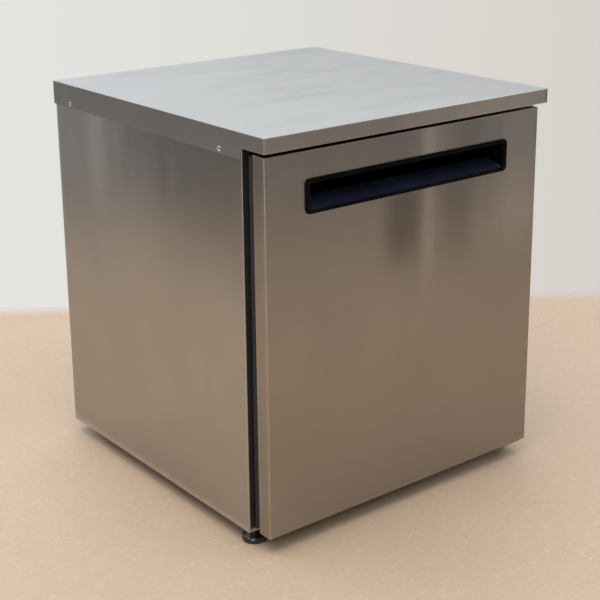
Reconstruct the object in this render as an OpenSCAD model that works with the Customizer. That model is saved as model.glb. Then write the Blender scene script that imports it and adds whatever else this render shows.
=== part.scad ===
// One-door under-counter refrigerator with its cooling unit at the lower rear.
// The origin lies on the floor at the middle of the footprint. The door faces -Y,
// +X is to its right and +Z is up. Every size is in millimetres.

/* [Overall] */
// Width across the worktop
overall_w = 689; // [684:1:700]
// Depth from the front edge of the worktop to its back edge
overall_d = 722; // [718:1:740]
// Height from the floor to the top of the worktop
overall_h = 778; // [772:1:800]

/* [Worktop] */
// Thickness of the worktop sheet
top_sheet = 1.2; // [1:0.1:1.5]
// Height of the front edge
nosing_h = 28; // [26:1:32]
// Depth of the fold under the front edge
nosing_fold = 12; // [8:1:14]
// Height of the side flanges
flange_h = 47; // [45:1:52]
// How far the side flanges are cut back above the door
flange_step = 70; // [67:1:80]
// Distance of the flange screws below the top
screw_drop = 39; // [37:1:40]
// Places of the flange screws along the depth
worktop_screw_y = [-231.5, 292.5];

/* [Cabinet] */
// Thickness of the cabinet sheets
sheet = 0.8; // [0.7:0.1:1]
// Height of the underside of the cabinet above the floor
base_z = 28; // [26:1:30]
// Distance of the cabinet's face behind the front edge of the worktop
overhang = 66; // [65:1:67]
// How far the back of the cabinet stands in from the back edge of the worktop
back_inset = 5; // [5:1:8]
// Width of the hem at the front edge of a side panel
hem_w = 3; // [2:0.5:4]
// Width of the return at the back edge of a side panel
rear_return = 15; // [12:1:18]
// Top of the steel strip below the door seal
strip_top_z = 35; // [34:1:36]
// Thickness of the plastic frame around the opening
breaker_t = 3; // [2:0.5:3]

/* [Cooled space] */
// Width between the side walls
cavity_w = 590; // [586:1:592]
// Height of the floor
cavity_floor_z = 82; // [82:1:84]
// Distance of the ceiling below the worktop
ceiling_drop = 78; // [76:1:80]
// Thickness of the insulation at the back
back_wall = 50; // [48:1:52]
// Thickness of the liner
liner_t = 1; // [0.8:0.1:1.2]
// Front of the machine compartment
compartment_y = 128; // [126:1:130]
// Ceiling of the machine compartment
compartment_z = 330; // [328:1:332]

/* [Shelves] */
// Heights of the shelf slots that the clips hook into
shelf_slot_z = [275, 450];
// Width of a shelf
shelf_w = 575; // [570:1:576]
// Depth of a shelf
shelf_d = 325; // [310:5:325]
// Front edge of the shelves
shelf_front_y = -264; // [-266:1:-260]
// Radius of the rim wire
rim_r = 3; // [2.5:0.1:3]
// Radius of the thin wires
wire_r = 1.6; // [1.2:0.1:2]
// Distance between thin wires
wire_pitch = 25; // [20:1:30]
// Places of the pilasters along the depth
pilaster_y = [-240, 40];

/* [Door] */
// How far the door stands in from each side of the worktop
door_inset = 10; // [9:0.5:11]
// How far the door stands behind the front edge of the worktop
door_setback = 14.5; // [14:0.5:15]
// Depth of the folded steel sides of the door
door_t = 32.5; // [32:0.5:33]
// Gap between the front edge of the worktop and the door
door_gap = 9; // [9:1:11]
// Height of the underside of the door
door_bottom_z = 33; // [33:0.5:34]
// How deep the door's inner face reaches into the opening
plug_depth = 37; // [36:1:38]
// Half the width of the plug on the door's inner face
plug_half_w = 280; // [276:1:281]

/* [Handle] */
// Width of the handle's rim
handle_w = 495.5; // [480:0.5:500]
// Height of the handle's rim
handle_h = 63.5; // [63:0.5:64]
// Distance of the rim's upper edge below the worktop
handle_drop = 87; // [87:1:88]
// How far the rim stands out of the door
rim_proud = 3; // [2:0.5:4]
// Corner radius of the rim
rim_corner = 10; // [6:1:12]
// Width of the rim at each side
rim_side = 9.75; // [9:0.25:11]
// Width of the rim above the pocket
rim_top = 8.5; // [8:0.5:9]
// Width of the rim below the pocket
rim_bottom = 9.5; // [9:0.5:10]
// Depth of the pocket behind the door's front
pocket_depth = 37.5; // [36:0.5:38]

/* [Hinges] */
// Distance of the hinge axis from the door's edge
hinge_inset = 10.5; // [10:0.5:12]
// Radius of the hinge pins
hinge_pin_r = 4; // [3.5:0.5:4]
// Running clearance of pins and shafts
running_fit = 0.05; // [0.02:0.01:0.09]

/* [Fans] */
// Tip radius of the evaporator fan
evaporator_fan_r = 54; // [48:1:55]
// Tip radius of the condenser fan
condenser_fan_r = 81; // [70:1:82]

/* [Feet] */
// Radius of the pad
pad_r = 24; // [20:1:25]
// Radius of the threaded stem
stem_r = 5; // [4:0.5:5]
// Distance of the front feet from the middle
foot_front_x = 318; // [310:1:318]
// Distance of the rear feet from the middle
foot_back_x = 275; // [272:1:280]
// Place of the front feet along Y
foot_front_y = -275; // [-275:1:-268]
// Place of the rear feet along Y
foot_back_y = 300; // [290:1:305]

/* [Hidden] */
$fn = 64;
side_x = overall_w / 2;
front_y = -overall_d / 2;
back_y = overall_d / 2;
nosing_z = overall_h - nosing_h;
flange_z = overall_h - flange_h;
step_y = front_y + flange_step;
screw_z = overall_h - screw_drop;

panel_x = side_x - top_sheet - 0.3;
inner_x = panel_x - sheet;
face_y = front_y + overhang;
cabinet_back_y = back_y - back_inset;
panel_back_y = cabinet_back_y - sheet;
foam_back_y = panel_back_y - sheet;
cabinet_top_z = nosing_z + top_sheet;
pan_top_z = base_z + sheet;
breaker_back_y = face_y + breaker_t;
foam_front_y = breaker_back_y + sheet;
hem_d = 10;
foam_top_z = cabinet_top_z - sheet;

cavity_x = cavity_w / 2;
cavity_top_z = overall_h - ceiling_drop;
cavity_back_y = cabinet_back_y - back_wall;
lower_back_y = compartment_y - 51;
cavity_step_z = compartment_z + 50;
board_gap = 0.1;
lip = 2;
lip_back_y = breaker_back_y + 24;

door_x = side_x - door_inset;
door_front_y = front_y + door_setback;
door_back_y = door_front_y + door_t;
door_top_z = nosing_z - door_gap;
door_liner_t = 2;
seal_base_y = door_back_y + door_liner_t;
seal_face_y = face_y - 1.2;
seal_inset = 2.8;
seal_w = 18.7;
plug_bottom_z = cavity_floor_z + 8;
plug_top_z = cavity_top_z - 6;
plug_y = door_back_y + plug_depth + door_liner_t;

rim_top_z = overall_h - handle_drop;
rim_bottom_z = rim_top_z - handle_h;
rim_y = door_front_y - rim_proud;
pocket_x = handle_w / 2 - rim_side;
pocket_low_z = rim_bottom_z + rim_bottom;
pocket_high_z = rim_top_z - rim_top;
pocket_back_y = door_front_y + pocket_depth;
pocket_roof_z = rim_top_z - 4.5;
pocket_rise = 21;
tub_t = 2.5;

hinge_x = door_x - hinge_inset;
hinge_y = door_front_y + 15.5;
bush_r = 7;
bush_flange_r = 9.5;
bush_h = 20;
top_bracket_z = cabinet_top_z - 3;
top_bracket_screws = [[298, -337], [298, -306], [331, -306]];
bottom_bracket_screws = [[272, -262], [286, -240]];
bottom_bracket_z = [25, 28.5];
bracket_t = 3;
hinge_screw_r = 2.2;

pilaster_w = 16;
pilaster_t = 4;
pilaster_z = [105, 675];
pilaster_screw_z = [113, 668];
slot_w = 10;
slot_h = 4;
slot_pitch = 25;
slot_low_z = 125;
clip_seat = 3.3;

evaporator_x = 230;
evaporator_front_y = 150;
evaporator_low_z = 560;
evaporator_high_z = 692;
evaporator_fan_x = -95;
evaporator_fan_z = 626;
fan_opening_r = evaporator_fan_r + 6;
thermostat_x = 185;
thermostat_z = 626;

condenser_fan_y = 240;
condenser_fan_z = 150;
shroud_r = condenser_fan_r + 5;
coil_x = [-290, -235];
coil_y = [150, 330];
coil_low_z = 63;
coil_top_z = 258;
liquid_z = 68;
unit_base_t = 2;
unit_base_z = pan_top_z + unit_base_t;

compressor_x = 130;
compressor_y = 240;
compressor_r = 75;
compressor_z = [47, 197];
mount_x = 80;
mount_y = 60;
port_z = 140;

drain_path = [[-150, 296, 570], [-150, 331, 570], [-150, 331, 268]];
suction_path = [[compressor_x + compressor_r, 240, port_z], [225, 240, port_z], [225, 331, port_z],
    [225, 331, 640], [225, 264, 640], [151, 264, 640]];
discharge_path = [[compressor_x - compressor_r, 240, port_z], [30, 240, port_z], [30, 240, 250],
    [coil_x[1], 240, 250]];
liquid_path_low = [[coil_x[1], 322, liquid_z], [-75, 322, liquid_z]];
liquid_path_high = [[15, 322, liquid_z], [35, 322, liquid_z], [35, 322, 300], [205, 322, 300], [205, 322, 600],
    [205, 264, 600], [151, 264, 600]];
drain_r = 8;
suction_r = 4;
discharge_r = 3;
liquid_r = 2.5;
drain_bend = 16;
pipe_bend = 12;

box_x = [240, 342];
box_y = [255, 353];
box_z = [90, 190];
inlet_x = 292;
inlet_z = 140;

legs = [[-foot_front_x, foot_front_y], [foot_front_x, foot_front_y],
    [-foot_back_x, foot_back_y], [foot_back_x, foot_back_y]];
socket_r = 9;
socket_flange_r = 18;
rear_screws = [for (x = [-333, 333], z = [50, 205, 316]) [x, z]];

// ---- shared shapes ----

// A block between two corners
module block(low, high) {
    translate(low)
        cube(high - low);
}

// A rectangular ring seen from the front, between two planes of constant Y
module frame_ring(outer_x, outer_z, inner_x, inner_z, y) {
    difference() {
        block([-outer_x, y[0], outer_z[0]], [outer_x, y[1], outer_z[1]]);
        block([-inner_x, y[0] - 1, inner_z[0]], [inner_x, y[1] + 1, inner_z[1]]);
    }
}

// A cylinder along Y from y[0] to y[1]
module rod_y(x, z, y, radius) {
    translate([x, y[1], z])
        rotate([90, 0, 0])
            cylinder(h = y[1] - y[0], r = radius);
}

// A cylinder along X from x[0] to x[1]
module rod_x(y, z, x, radius) {
    translate([x[0], y, z])
        rotate([0, 90, 0])
            cylinder(h = x[1] - x[0], r = radius);
}

// A cylinder between any two points
module rod(from, to, radius) {
    step = to - from;
    translate(from)
        rotate([0, acos(step.z / norm(step)), atan2(step.y, step.x)])
            cylinder(h = norm(step), r = radius);
}

function unit(v) = v / norm(v);

// A quarter bend about a corner, from direction u to direction v
module elbow(corner, u, v, radius, bend) {
    w = cross(u, v);
    c = corner - bend * u + bend * v;
    multmatrix([
        [-v.x, u.x, w.x, c.x],
        [-v.y, u.y, w.y, c.y],
        [-v.z, u.z, w.z, c.z],
        [0, 0, 0, 1]
    ])
        rotate_extrude(angle = 90)
            translate([bend, 0])
                circle(r = radius);
}

// A pipe through points that turn by right angles
module pipe_run(points, radius, bend) {
    last = len(points) - 1;
    for (i = [0 : last - 1]) {
        u = unit(points[i + 1] - points[i]);
        rod(points[i] + (i == 0 ? 0 : bend) * u, points[i + 1] - (i == last - 1 ? 0 : bend) * u, radius);
    }
    for (i = [1 : 1 : last - 1])
        elbow(points[i], unit(points[i] - points[i - 1]), unit(points[i + 1] - points[i]), radius, bend);
}

// A rectangle with round corners, centred
module round_rect(w, h, r) {
    square([w - 2 * r, h], center = true);
    square([w, h - 2 * r], center = true);
    for (x = [-1, 1], y = [-1, 1])
        translate([x * (w / 2 - r), y * (h / 2 - r)])
            circle(r = r);
}

// The half section of a turned body with round edges
module round_profile(r, h, edge) {
    square([r - edge, h]);
    translate([0, edge])
        square([r, h - 2 * edge]);
    for (z = [edge, h - edge])
        translate([r - edge, z])
            circle(r = edge);
}

// A pan-head screw along +Z with its head on top of z = 0
module pan_screw(head_r, head_h, shank_r, shank_l) {
    difference() {
        union() {
            rotate_extrude()
                intersection() {
                    translate([0, head_h - head_r * 1.6])
                        circle(r = head_r * 1.6);
                    square([head_r, head_h]);
                }
            translate([0, 0, -shank_l])
                cylinder(h = shank_l + 0.5, r = shank_r);
        }
        for (a = [0, 90])
            rotate([0, 0, a])
                block([-head_r * 0.55, -0.45, head_h - 1.1], [head_r * 0.55, 0.45, head_h + 1]);
    }
}

// Fan blades around Z: a hub with tilted blades
module fan_rotor(count, hub_r, tip_r, pitch, depth, bore_r, bore_depth) {
    difference() {
        union() {
            cylinder(h = depth, r = hub_r);
            intersection() {
                for (i = [0 : count - 1])
                    rotate([0, 0, i * 360 / count])
                        translate([0, 0, depth / 2])
                            rotate([pitch, 0, 0])
                                block([hub_r - 3, -tip_r * 0.36, -0.9], [tip_r + 2, tip_r * 0.36, 0.9]);
                cylinder(h = depth, r = tip_r);
            }
        }
        translate([0, 0, -1])
            cylinder(h = bore_depth + 1, r = bore_r);
    }
}

// ---- worktop ----

module worktop() {
    color("gainsboro") {
        difference() {
            block([-side_x, front_y, flange_z], [side_x, back_y, overall_h]);
            block([-side_x + top_sheet, front_y + top_sheet, flange_z - 1],
                [side_x - top_sheet, back_y - top_sheet, overall_h - top_sheet]);
            block([-side_x - 1, front_y - 1, flange_z - 1], [side_x + 1, step_y, nosing_z]);
            for (y = worktop_screw_y)
                rod_x(y, screw_z, [-side_x - 1, side_x + 1], 2.5);
        }
        block([-side_x + top_sheet, front_y + top_sheet, nosing_z],
            [side_x - top_sheet, front_y + nosing_fold, cabinet_top_z]);
    }
}

module worktop_core() {
    color("burlywood")
        difference() {
            block([-side_x + top_sheet, front_y + top_sheet, cabinet_top_z],
                [side_x - top_sheet, back_y - top_sheet, overall_h - top_sheet]);
            for (p = top_bracket_screws)
                translate([p.x, p.y, cabinet_top_z - 1])
                    cylinder(h = 16, r = hinge_screw_r + 0.1);
        }
}

module worktop_screws() {
    color("silver")
        for (side = [-1, 1], y = worktop_screw_y)
            translate([side * side_x, y, screw_z])
                rotate([0, side * 90, 0])
                    pan_screw(4.8, 2.1, 2.1, 14);
}

// ---- cabinet shell ----

// Section of a side panel seen from above: skin, front hem and rear return
module side_panel_section() {
    difference() {
        union() {
            translate([inner_x, face_y + 1.5])
                square([sheet, cabinet_back_y - face_y - 1.5]);
            translate([panel_x - hem_w, face_y + 1.5])
                square([hem_w, hem_d - 1.5]);
            translate([panel_x - hem_w, face_y])
                square([hem_w - 1.5, 2]);
            translate([panel_x - 1.5, face_y + 1.5])
                circle(r = 1.5);
            translate([panel_x - rear_return, panel_back_y])
                square([rear_return, sheet]);
        }
        translate([panel_x - hem_w + sheet, face_y + 3])
            square([hem_w - 2 * sheet, hem_d]);
    }
}

// The room that the hems of both side panels take up at the cabinet's front corners
module hem_space() {
    for (side = [-1, 1])
        translate([side * (panel_x - hem_w / 2), face_y, overall_h / 2])
            cube([hem_w + 0.1, 2 * hem_d + 0.1, overall_h], center = true);
}

module side_panel() {
    difference() {
        translate([0, 0, base_z])
            linear_extrude(height = cabinet_top_z - base_z)
                side_panel_section();
        for (y = worktop_screw_y)
            rod_x(y, screw_z, [inner_x - 2, panel_x + 1], 2.3);
        for (p = rear_screws)
            rod_y(abs(p.x), p.y, [panel_back_y - 1, cabinet_back_y + 1], 2.2);
    }
}

module side_panel_left() {
    color("silver")
        mirror([1, 0, 0])
            side_panel();
}

module side_panel_right() {
    color("silver")
        side_panel();
}

module rear_panel() {
    color("darkgray")
        block([-inner_x, foam_back_y, compartment_z], [inner_x, panel_back_y, foam_top_z]);
}

module cabinet_top_panel() {
    color("darkgray")
        difference() {
            block([-inner_x, breaker_back_y, foam_top_z], [inner_x, panel_back_y, cabinet_top_z]);
            hem_space();
        }
}

module base_pan() {
    color("silver")
        difference() {
            union() {
                block([-inner_x, face_y, base_z], [inner_x, panel_back_y, pan_top_z]);
                block([-panel_x + hem_w + 0.2, face_y, base_z],
                    [panel_x - hem_w - 0.2, face_y + sheet, strip_top_z]);
            }
            hem_space();
            for (p = legs)
                translate([p.x, p.y, base_z - 1])
                    cylinder(h = 4, r = stem_r + 1);
            for (p = bottom_bracket_screws)
                translate([p.x, p.y, base_z - 1])
                    cylinder(h = 4, r = hinge_screw_r + 0.1);
        }
}

module front_frame() {
    color("dimgray")
        frame_ring(panel_x - hem_w - 1, [strip_top_z + 1, cabinet_top_z - 2], cavity_x + 5,
            [cavity_floor_z - 5, cavity_top_z + 5], [breaker_back_y, foam_front_y]);
}

module breaker_frame() {
    color("black") {
        frame_ring(panel_x - hem_w - 0.2, [strip_top_z + 0.2, cabinet_top_z], cavity_x - lip,
            [cavity_floor_z + lip, cavity_top_z - lip], [face_y, breaker_back_y]);
        frame_ring(cavity_x, [cavity_floor_z, cavity_top_z], cavity_x - lip,
            [cavity_floor_z + lip, cavity_top_z - lip], [breaker_back_y, lip_back_y]);
    }
}

// The cooled space with its step over the machine compartment, grown by a margin
module cavity(margin, front) {
    block([-cavity_x - margin, front, cavity_floor_z - margin],
        [cavity_x + margin, lower_back_y + margin, cavity_top_z + margin]);
    block([-cavity_x - margin, front, cavity_step_z - margin],
        [cavity_x + margin, cavity_back_y + margin, cavity_top_z + margin]);
}

// Passages for the pipes through the insulated back wall
module pipe_passages() {
    pipe_run(drain_path, drain_r + 0.4, drain_bend);
    pipe_run(suction_path, suction_r + 0.4, pipe_bend);
    pipe_run(liquid_path_high, liquid_r + 0.4, pipe_bend);
}

// Joints between the insulation boards: beside the cooled space, at the compartment's ceiling,
// above the floor board, over the step and below the ceiling board
module board_joints() {
    side = cavity_x + liner_t;
    for (x = [-side - board_gap, side])
        block([x, front_y, 0], [x + board_gap, back_y, overall_h]);
    for (z = [compartment_z + sheet, cavity_floor_z - liner_t - board_gap, cavity_step_z - liner_t - board_gap,
        cavity_top_z + liner_t])
        block([-side, front_y, z], [side, back_y, z + board_gap]);
    block([-side_x, front_y, compartment_z + sheet], [side_x, back_y, compartment_z + sheet + board_gap]);
}

module foam_insulation() {
    color("khaki")
        difference() {
            block([-inner_x, foam_front_y, pan_top_z], [inner_x, foam_back_y, foam_top_z]);
            cavity(liner_t, foam_front_y - 1);
            block([-inner_x - 1, compartment_y, pan_top_z - 1],
                [inner_x + 1, foam_back_y + 1, compartment_z + sheet]);
            board_joints();
            hem_space();
            pipe_passages();
            pilaster_screw_holes();
            for (side = [-1, 1], y = worktop_screw_y)
                rod_x(y, screw_z, side > 0 ? [inner_x - 16, inner_x + 1] : [-inner_x - 1, 16 - inner_x], 2.4);
            for (p = legs)
                translate([p.x, p.y, pan_top_z - 1])
                    socket_outline(0.4);
            for (p = bottom_bracket_screws)
                translate([p.x, p.y, pan_top_z - 1])
                    cylinder(h = 16, r = hinge_screw_r + 0.2);
        }
}

module inner_liner() {
    color("lightgray")
        difference() {
            cavity(liner_t, breaker_back_y);
            cavity(0, breaker_back_y - 1);
            pipe_passages();
            pilaster_screw_holes();
        }
}

module machine_compartment_wall() {
    color("darkgray")
        difference() {
            union() {
                block([-inner_x, compartment_y, pan_top_z], [inner_x, compartment_y + sheet, compartment_z + sheet]);
                block([-inner_x, compartment_y, compartment_z], [inner_x, foam_back_y, compartment_z + sheet]);
            }
            pipe_passages();
        }
}

// ---- shelves ----

module pilaster_screw_holes() {
    for (y = pilaster_y, z = pilaster_screw_z)
        rod_x(y, z, [-cavity_x - 14, cavity_x + 14], 1.8);
}

module shelf_pilasters() {
    color("silver")
        difference() {
            for (side = [-1, 1], y = pilaster_y)
                translate([side * (cavity_x - pilaster_t / 2), y, (pilaster_z[0] + pilaster_z[1]) / 2])
                    cube([pilaster_t, pilaster_w, pilaster_z[1] - pilaster_z[0]], center = true);
            for (y = pilaster_y, z = [slot_low_z : slot_pitch : pilaster_z[1] - 25])
                translate([0, y, z])
                    cube([2 * cavity_x + 10, slot_w, slot_h], center = true);
            pilaster_screw_holes();
        }
}

module pilaster_screws() {
    color("gray")
        for (side = [-1, 1], y = pilaster_y, z = pilaster_screw_z)
            translate([side * (cavity_x - pilaster_t), y, z])
                rotate([0, -side * 90, 0])
                    pan_screw(4, 1.8, 1.6, 14);
}

// A clip hooks into a pilaster slot and holds a shelf's rim on its tab
module shelf_clip() {
    face_x = cavity_x - pilaster_t;
    block([face_x - 1.5, -5, -14], [face_x, 5, 6]);
    block([face_x - 12, -5, 1.5], [face_x, 5, 3]);
    block([face_x - 12, -5, 1.5], [face_x - 10.5, 5, 5]);
    block([face_x - 1, -4, -1.5], [face_x + 3, 4, 1.4]);
}

module shelf_clips() {
    color("silver")
        for (z = shelf_slot_z, y = pilaster_y, side = [0, 1])
            translate([0, y, z])
                mirror([side, 0, 0])
                    shelf_clip();
}

// A wire shelf whose rim rests on z = 0, with two stiffening bars under its thin wires
module wire_shelf() {
    rim_x = shelf_w / 2 - rim_r;
    ends = [rim_r, shelf_d - rim_r];
    wire_z = rim_r - wire_r - 0.2;
    bar_r = rim_r - 0.5;
    bar_z = wire_z - wire_r - bar_r + 1;
    wires = floor((shelf_w - 40) / wire_pitch / 2);
    translate([0, shelf_front_y, rim_r]) {
        for (side = [-1, 1])
            rod([side * rim_x, ends[0], 0], [side * rim_x, ends[1], 0], rim_r);
        for (y = ends)
            rod([-rim_x, y, 0], [rim_x, y, 0], rim_r);
        for (side = [-1, 1], y = ends)
            translate([side * rim_x, y, 0])
                sphere(r = rim_r);
        for (y = [shelf_d * 0.36, shelf_d * 0.64])
            rod([-rim_x, y, bar_z], [rim_x, y, bar_z], bar_r);
        for (i = [-wires : wires])
            rod([i * wire_pitch, ends[0], wire_z], [i * wire_pitch, ends[1], wire_z], wire_r);
    }
}

module wire_shelf_upper() {
    color("whitesmoke")
        translate([0, 0, shelf_slot_z[1] + clip_seat])
            wire_shelf();
}

module wire_shelf_lower() {
    color("whitesmoke")
        translate([0, 0, shelf_slot_z[0] + clip_seat])
            wire_shelf();
}

// ---- evaporator ----

module evaporator_housing() {
    t = 1;
    color("whitesmoke")
        difference() {
            block([-evaporator_x, evaporator_front_y, evaporator_low_z],
                [evaporator_x, cavity_back_y, evaporator_high_z]);
            block([-evaporator_x + t, evaporator_front_y + t, evaporator_low_z + t],
                [evaporator_x - t, cavity_back_y + 1, evaporator_high_z - t]);
            rod_y(evaporator_fan_x, evaporator_fan_z, [evaporator_front_y - 1, evaporator_front_y + 5], fan_opening_r);
            rod_y(thermostat_x, thermostat_z, [evaporator_front_y - 1, evaporator_front_y + 5], 6.2);
            for (i = [0 : 5])
                block([15, evaporator_front_y - 1, 580 + 16 * i], [125, evaporator_front_y + 5, 587 + 16 * i]);
            for (i = [0 : 7])
                block([-190 + 45 * i, 180, evaporator_low_z - 1], [-160 + 45 * i, 220, evaporator_low_z + 5]);
        }
}

// Return bends of a tube coil, in the plane across a coil's end plate
module return_bend(radius, tube_r) {
    rotate_extrude(angle = 180)
        translate([radius, 0])
            circle(r = tube_r);
}

module evaporator_coil() {
    color("silver") {
        block([-205, 236, 582], [146, 292, 680]);
        for (x = [-207, 146])
            block([x, 234, 578], [x + 2, 294, evaporator_high_z - 1]);
        for (y = [250, 278], z = [600, 650])
            translate([-207, y, z + 12])
                rotate([90, 90, 0])
                    mirror([0, 1, 0])
                        return_bend(12, 4);
        for (y = [250, 278])
            translate([148, y, 618])
                rotate([90, 90, 0])
                    return_bend(12, 4);
    }
}

module evaporator_fan_motor() {
    color("dimgray") {
        rod_y(evaporator_fan_x, evaporator_fan_z, [190, 222], 26);
        rod_y(evaporator_fan_x, evaporator_fan_z, [164, 191], 2.5);
        block([-167, 204, 620], [-23, 207, 632]);
        for (x = [-167, -26])
            block([x, evaporator_front_y + 1, 620], [x + 3, 207, 632]);
    }
}

module evaporator_fan_blade() {
    color("black")
        translate([evaporator_fan_x, 182, evaporator_fan_z])
            rotate([90, 0, 0])
                fan_rotor(5, 12, evaporator_fan_r, 24, 22, 2.5 + running_fit, 19);
}

module evaporator_fan_guard() {
    wire = 1.3;
    ring_y = evaporator_front_y - wire;
    color("silver")
        translate([evaporator_fan_x, 0, evaporator_fan_z]) {
            for (r = [22, 36, 50, 64])
                translate([0, ring_y, 0])
                    rotate([90, 0, 0])
                        rotate_extrude()
                            translate([r, 0])
                                circle(r = wire);
            for (a = [0, 60, 120])
                rotate([0, a, 0])
                    rod([-65, ring_y - 2.1, 0], [65, ring_y - 2.1, 0], wire);
        }
}

module drain_tube() {
    color("gray")
        difference() {
            pipe_run(drain_path, drain_r, drain_bend);
            pipe_run([drain_path[0] - [0, 1, 0], drain_path[1], drain_path[2] - [0, 0, 1]], drain_r - 2, drain_bend);
        }
}

module thermostat_body() {
    color("ivory") {
        block([thermostat_x - 30, evaporator_front_y + 1, thermostat_z - 30],
            [thermostat_x + 30, evaporator_front_y + 36, thermostat_z + 30]);
        rod_y(thermostat_x, thermostat_z, [144, evaporator_front_y + 2], 6);
        rod_y(thermostat_x, thermostat_z, [129, 145], 3);
    }
}

module thermostat_knob() {
    color("black")
        translate([thermostat_x, 142.5, thermostat_z])
            rotate([90, 0, 0])
                difference() {
                    union() {
                        rotate_extrude()
                            round_profile(19, 9, 1.5);
                        translate([-4, -18, 6])
                            cube([8, 36, 10]);
                    }
                    translate([0, 0, -1])
                        cylinder(h = 15, r = 3 + running_fit);
                }
}

// ---- hinges ----

module hinge_bracket_top() {
    color("black")
        difference() {
            union() {
                block([290, front_y + nosing_fold + 3, top_bracket_z], [339, face_y - 2, cabinet_top_z]);
                translate([hinge_x, hinge_y, door_top_z - 17])
                    cylinder(h = cabinet_top_z - door_top_z + 15, r = hinge_pin_r);
            }
            for (p = top_bracket_screws)
                translate([p.x, p.y, top_bracket_z - 1])
                    cylinder(h = 5, r = hinge_screw_r + 0.3);
        }
}

// A stepped plate: it runs under the base pan and carries the lower pin in front
module hinge_bracket_bottom() {
    low = bottom_bracket_z[0];
    high = bottom_bracket_z[1];
    color("black")
        difference() {
            union() {
                translate([hinge_x, hinge_y, high])
                    cylinder(h = bracket_t, r = 9);
                block([262, hinge_y - 9, high], [hinge_x, face_y - 2, high + bracket_t]);
                block([262, hinge_y, high], [hinge_x + 9, face_y - 2, high + bracket_t]);
                block([262, face_y - 5, low], [296, face_y - 2, high + bracket_t]);
                block([262, face_y - 5, low], [296, face_y + 65, low + bracket_t]);
                translate([hinge_x, hinge_y, high + 1])
                    cylinder(h = 21, r = hinge_pin_r);
            }
            for (p = bottom_bracket_screws)
                translate([p.x, p.y, low - 1])
                    cylinder(h = 5, r = hinge_screw_r + 0.3);
        }
}

module hinge_screws() {
    color("silver") {
        for (p = top_bracket_screws)
            translate([p.x, p.y, top_bracket_z])
                rotate([180, 0, 0])
                    pan_screw(4.4, 2, hinge_screw_r, 16);
        for (p = bottom_bracket_screws)
            translate([p.x, p.y, bottom_bracket_z[0]])
                rotate([180, 0, 0])
                    pan_screw(4.4, 2, hinge_screw_r, 15);
    }
}

// A nylon bush; its flange is at z = 0 and its body goes up
module bush(flange_h) {
    difference() {
        union() {
            cylinder(h = bush_h, r = bush_r);
            translate([0, 0, -flange_h])
                cylinder(h = flange_h, r = bush_flange_r);
        }
        translate([0, 0, -flange_h - 1])
            cylinder(h = bush_h + flange_h - 1, r = hinge_pin_r + running_fit);
    }
}

module hinge_bush_top() {
    color("white")
        translate([hinge_x, hinge_y, door_top_z])
            mirror([0, 0, 1])
                bush(1.6);
}

module hinge_bush_bottom() {
    color("white")
        translate([hinge_x, hinge_y, door_bottom_z])
            bush(1);
}

// ---- door ----

module bush_holes(margin) {
    for (z = [door_bottom_z - 1, door_top_z - bush_h - 1])
        translate([hinge_x, hinge_y, z])
            cylinder(h = bush_h + 2, r = bush_r + margin);
}

// Outline of the handle's tub from the side, in Y and Z
module tub_outline(margin) {
    polygon([
        [door_front_y - 1, pocket_low_z - tub_t - 1 - margin],
        [pocket_back_y + tub_t + margin, pocket_low_z + pocket_rise - tub_t - margin],
        [pocket_back_y + tub_t + margin, pocket_roof_z + tub_t + margin],
        [door_front_y - 1, pocket_roof_z + tub_t + margin]
    ]);
}

// Extrudes an outline drawn in Y and Z along X, centred
module extrude_x(w) {
    rotate([90, 0, 90])
        translate([0, 0, -w / 2])
            linear_extrude(height = w)
                children();
}

module door_skin() {
    color("silver")
        difference() {
            union() {
                difference() {
                    block([-door_x, door_front_y, door_bottom_z], [door_x, door_back_y, door_top_z]);
                    block([-door_x + sheet, door_front_y + sheet, door_bottom_z + sheet],
                        [door_x - sheet, door_back_y + 1, door_top_z - sheet]);
                }
                frame_ring(door_x, [door_bottom_z, door_top_z], door_x - 13,
                    [door_bottom_z + 13, door_top_z - 13], [door_back_y - sheet, door_back_y]);
            }
            block([-pocket_x - 4, door_front_y - 1, pocket_low_z - 6],
                [pocket_x + 4, door_front_y + 2, pocket_roof_z + tub_t + 0.2]);
            bush_holes(0.05);
        }
}

module door_foam() {
    color("khaki")
        difference() {
            union() {
                block([-door_x + sheet, door_front_y + sheet, door_bottom_z + sheet],
                    [door_x - sheet, door_back_y - sheet, door_top_z - sheet]);
                block([-door_x + 13, door_back_y - sheet - 1, door_bottom_z + 13],
                    [door_x - 13, door_back_y, door_top_z - 13]);
                block([-plug_half_w + 2, door_back_y - 1, plug_bottom_z + 2],
                    [plug_half_w - 2, plug_y - 2, plug_top_z - 2]);
            }
            extrude_x(2 * pocket_x + 5.4)
                tub_outline(0.2);
            block([-pocket_x - 4, door_front_y - 1, pocket_low_z - 6],
                [pocket_x + 4, door_front_y + 3.2, pocket_roof_z + tub_t + 0.2]);
            bush_holes(0.1);
        }
}

module door_liner() {
    inset = 6;
    color("whitesmoke")
        difference() {
            union() {
                block([-door_x + inset, door_back_y, door_bottom_z + inset],
                    [door_x - inset, seal_base_y, door_top_z - inset]);
                block([-plug_half_w, door_back_y, plug_bottom_z], [plug_half_w, plug_y, plug_top_z]);
            }
            block([-plug_half_w + 2, door_back_y - 1, plug_bottom_z + 2],
                [plug_half_w - 2, plug_y - 2, plug_top_z - 2]);
        }
}

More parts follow.
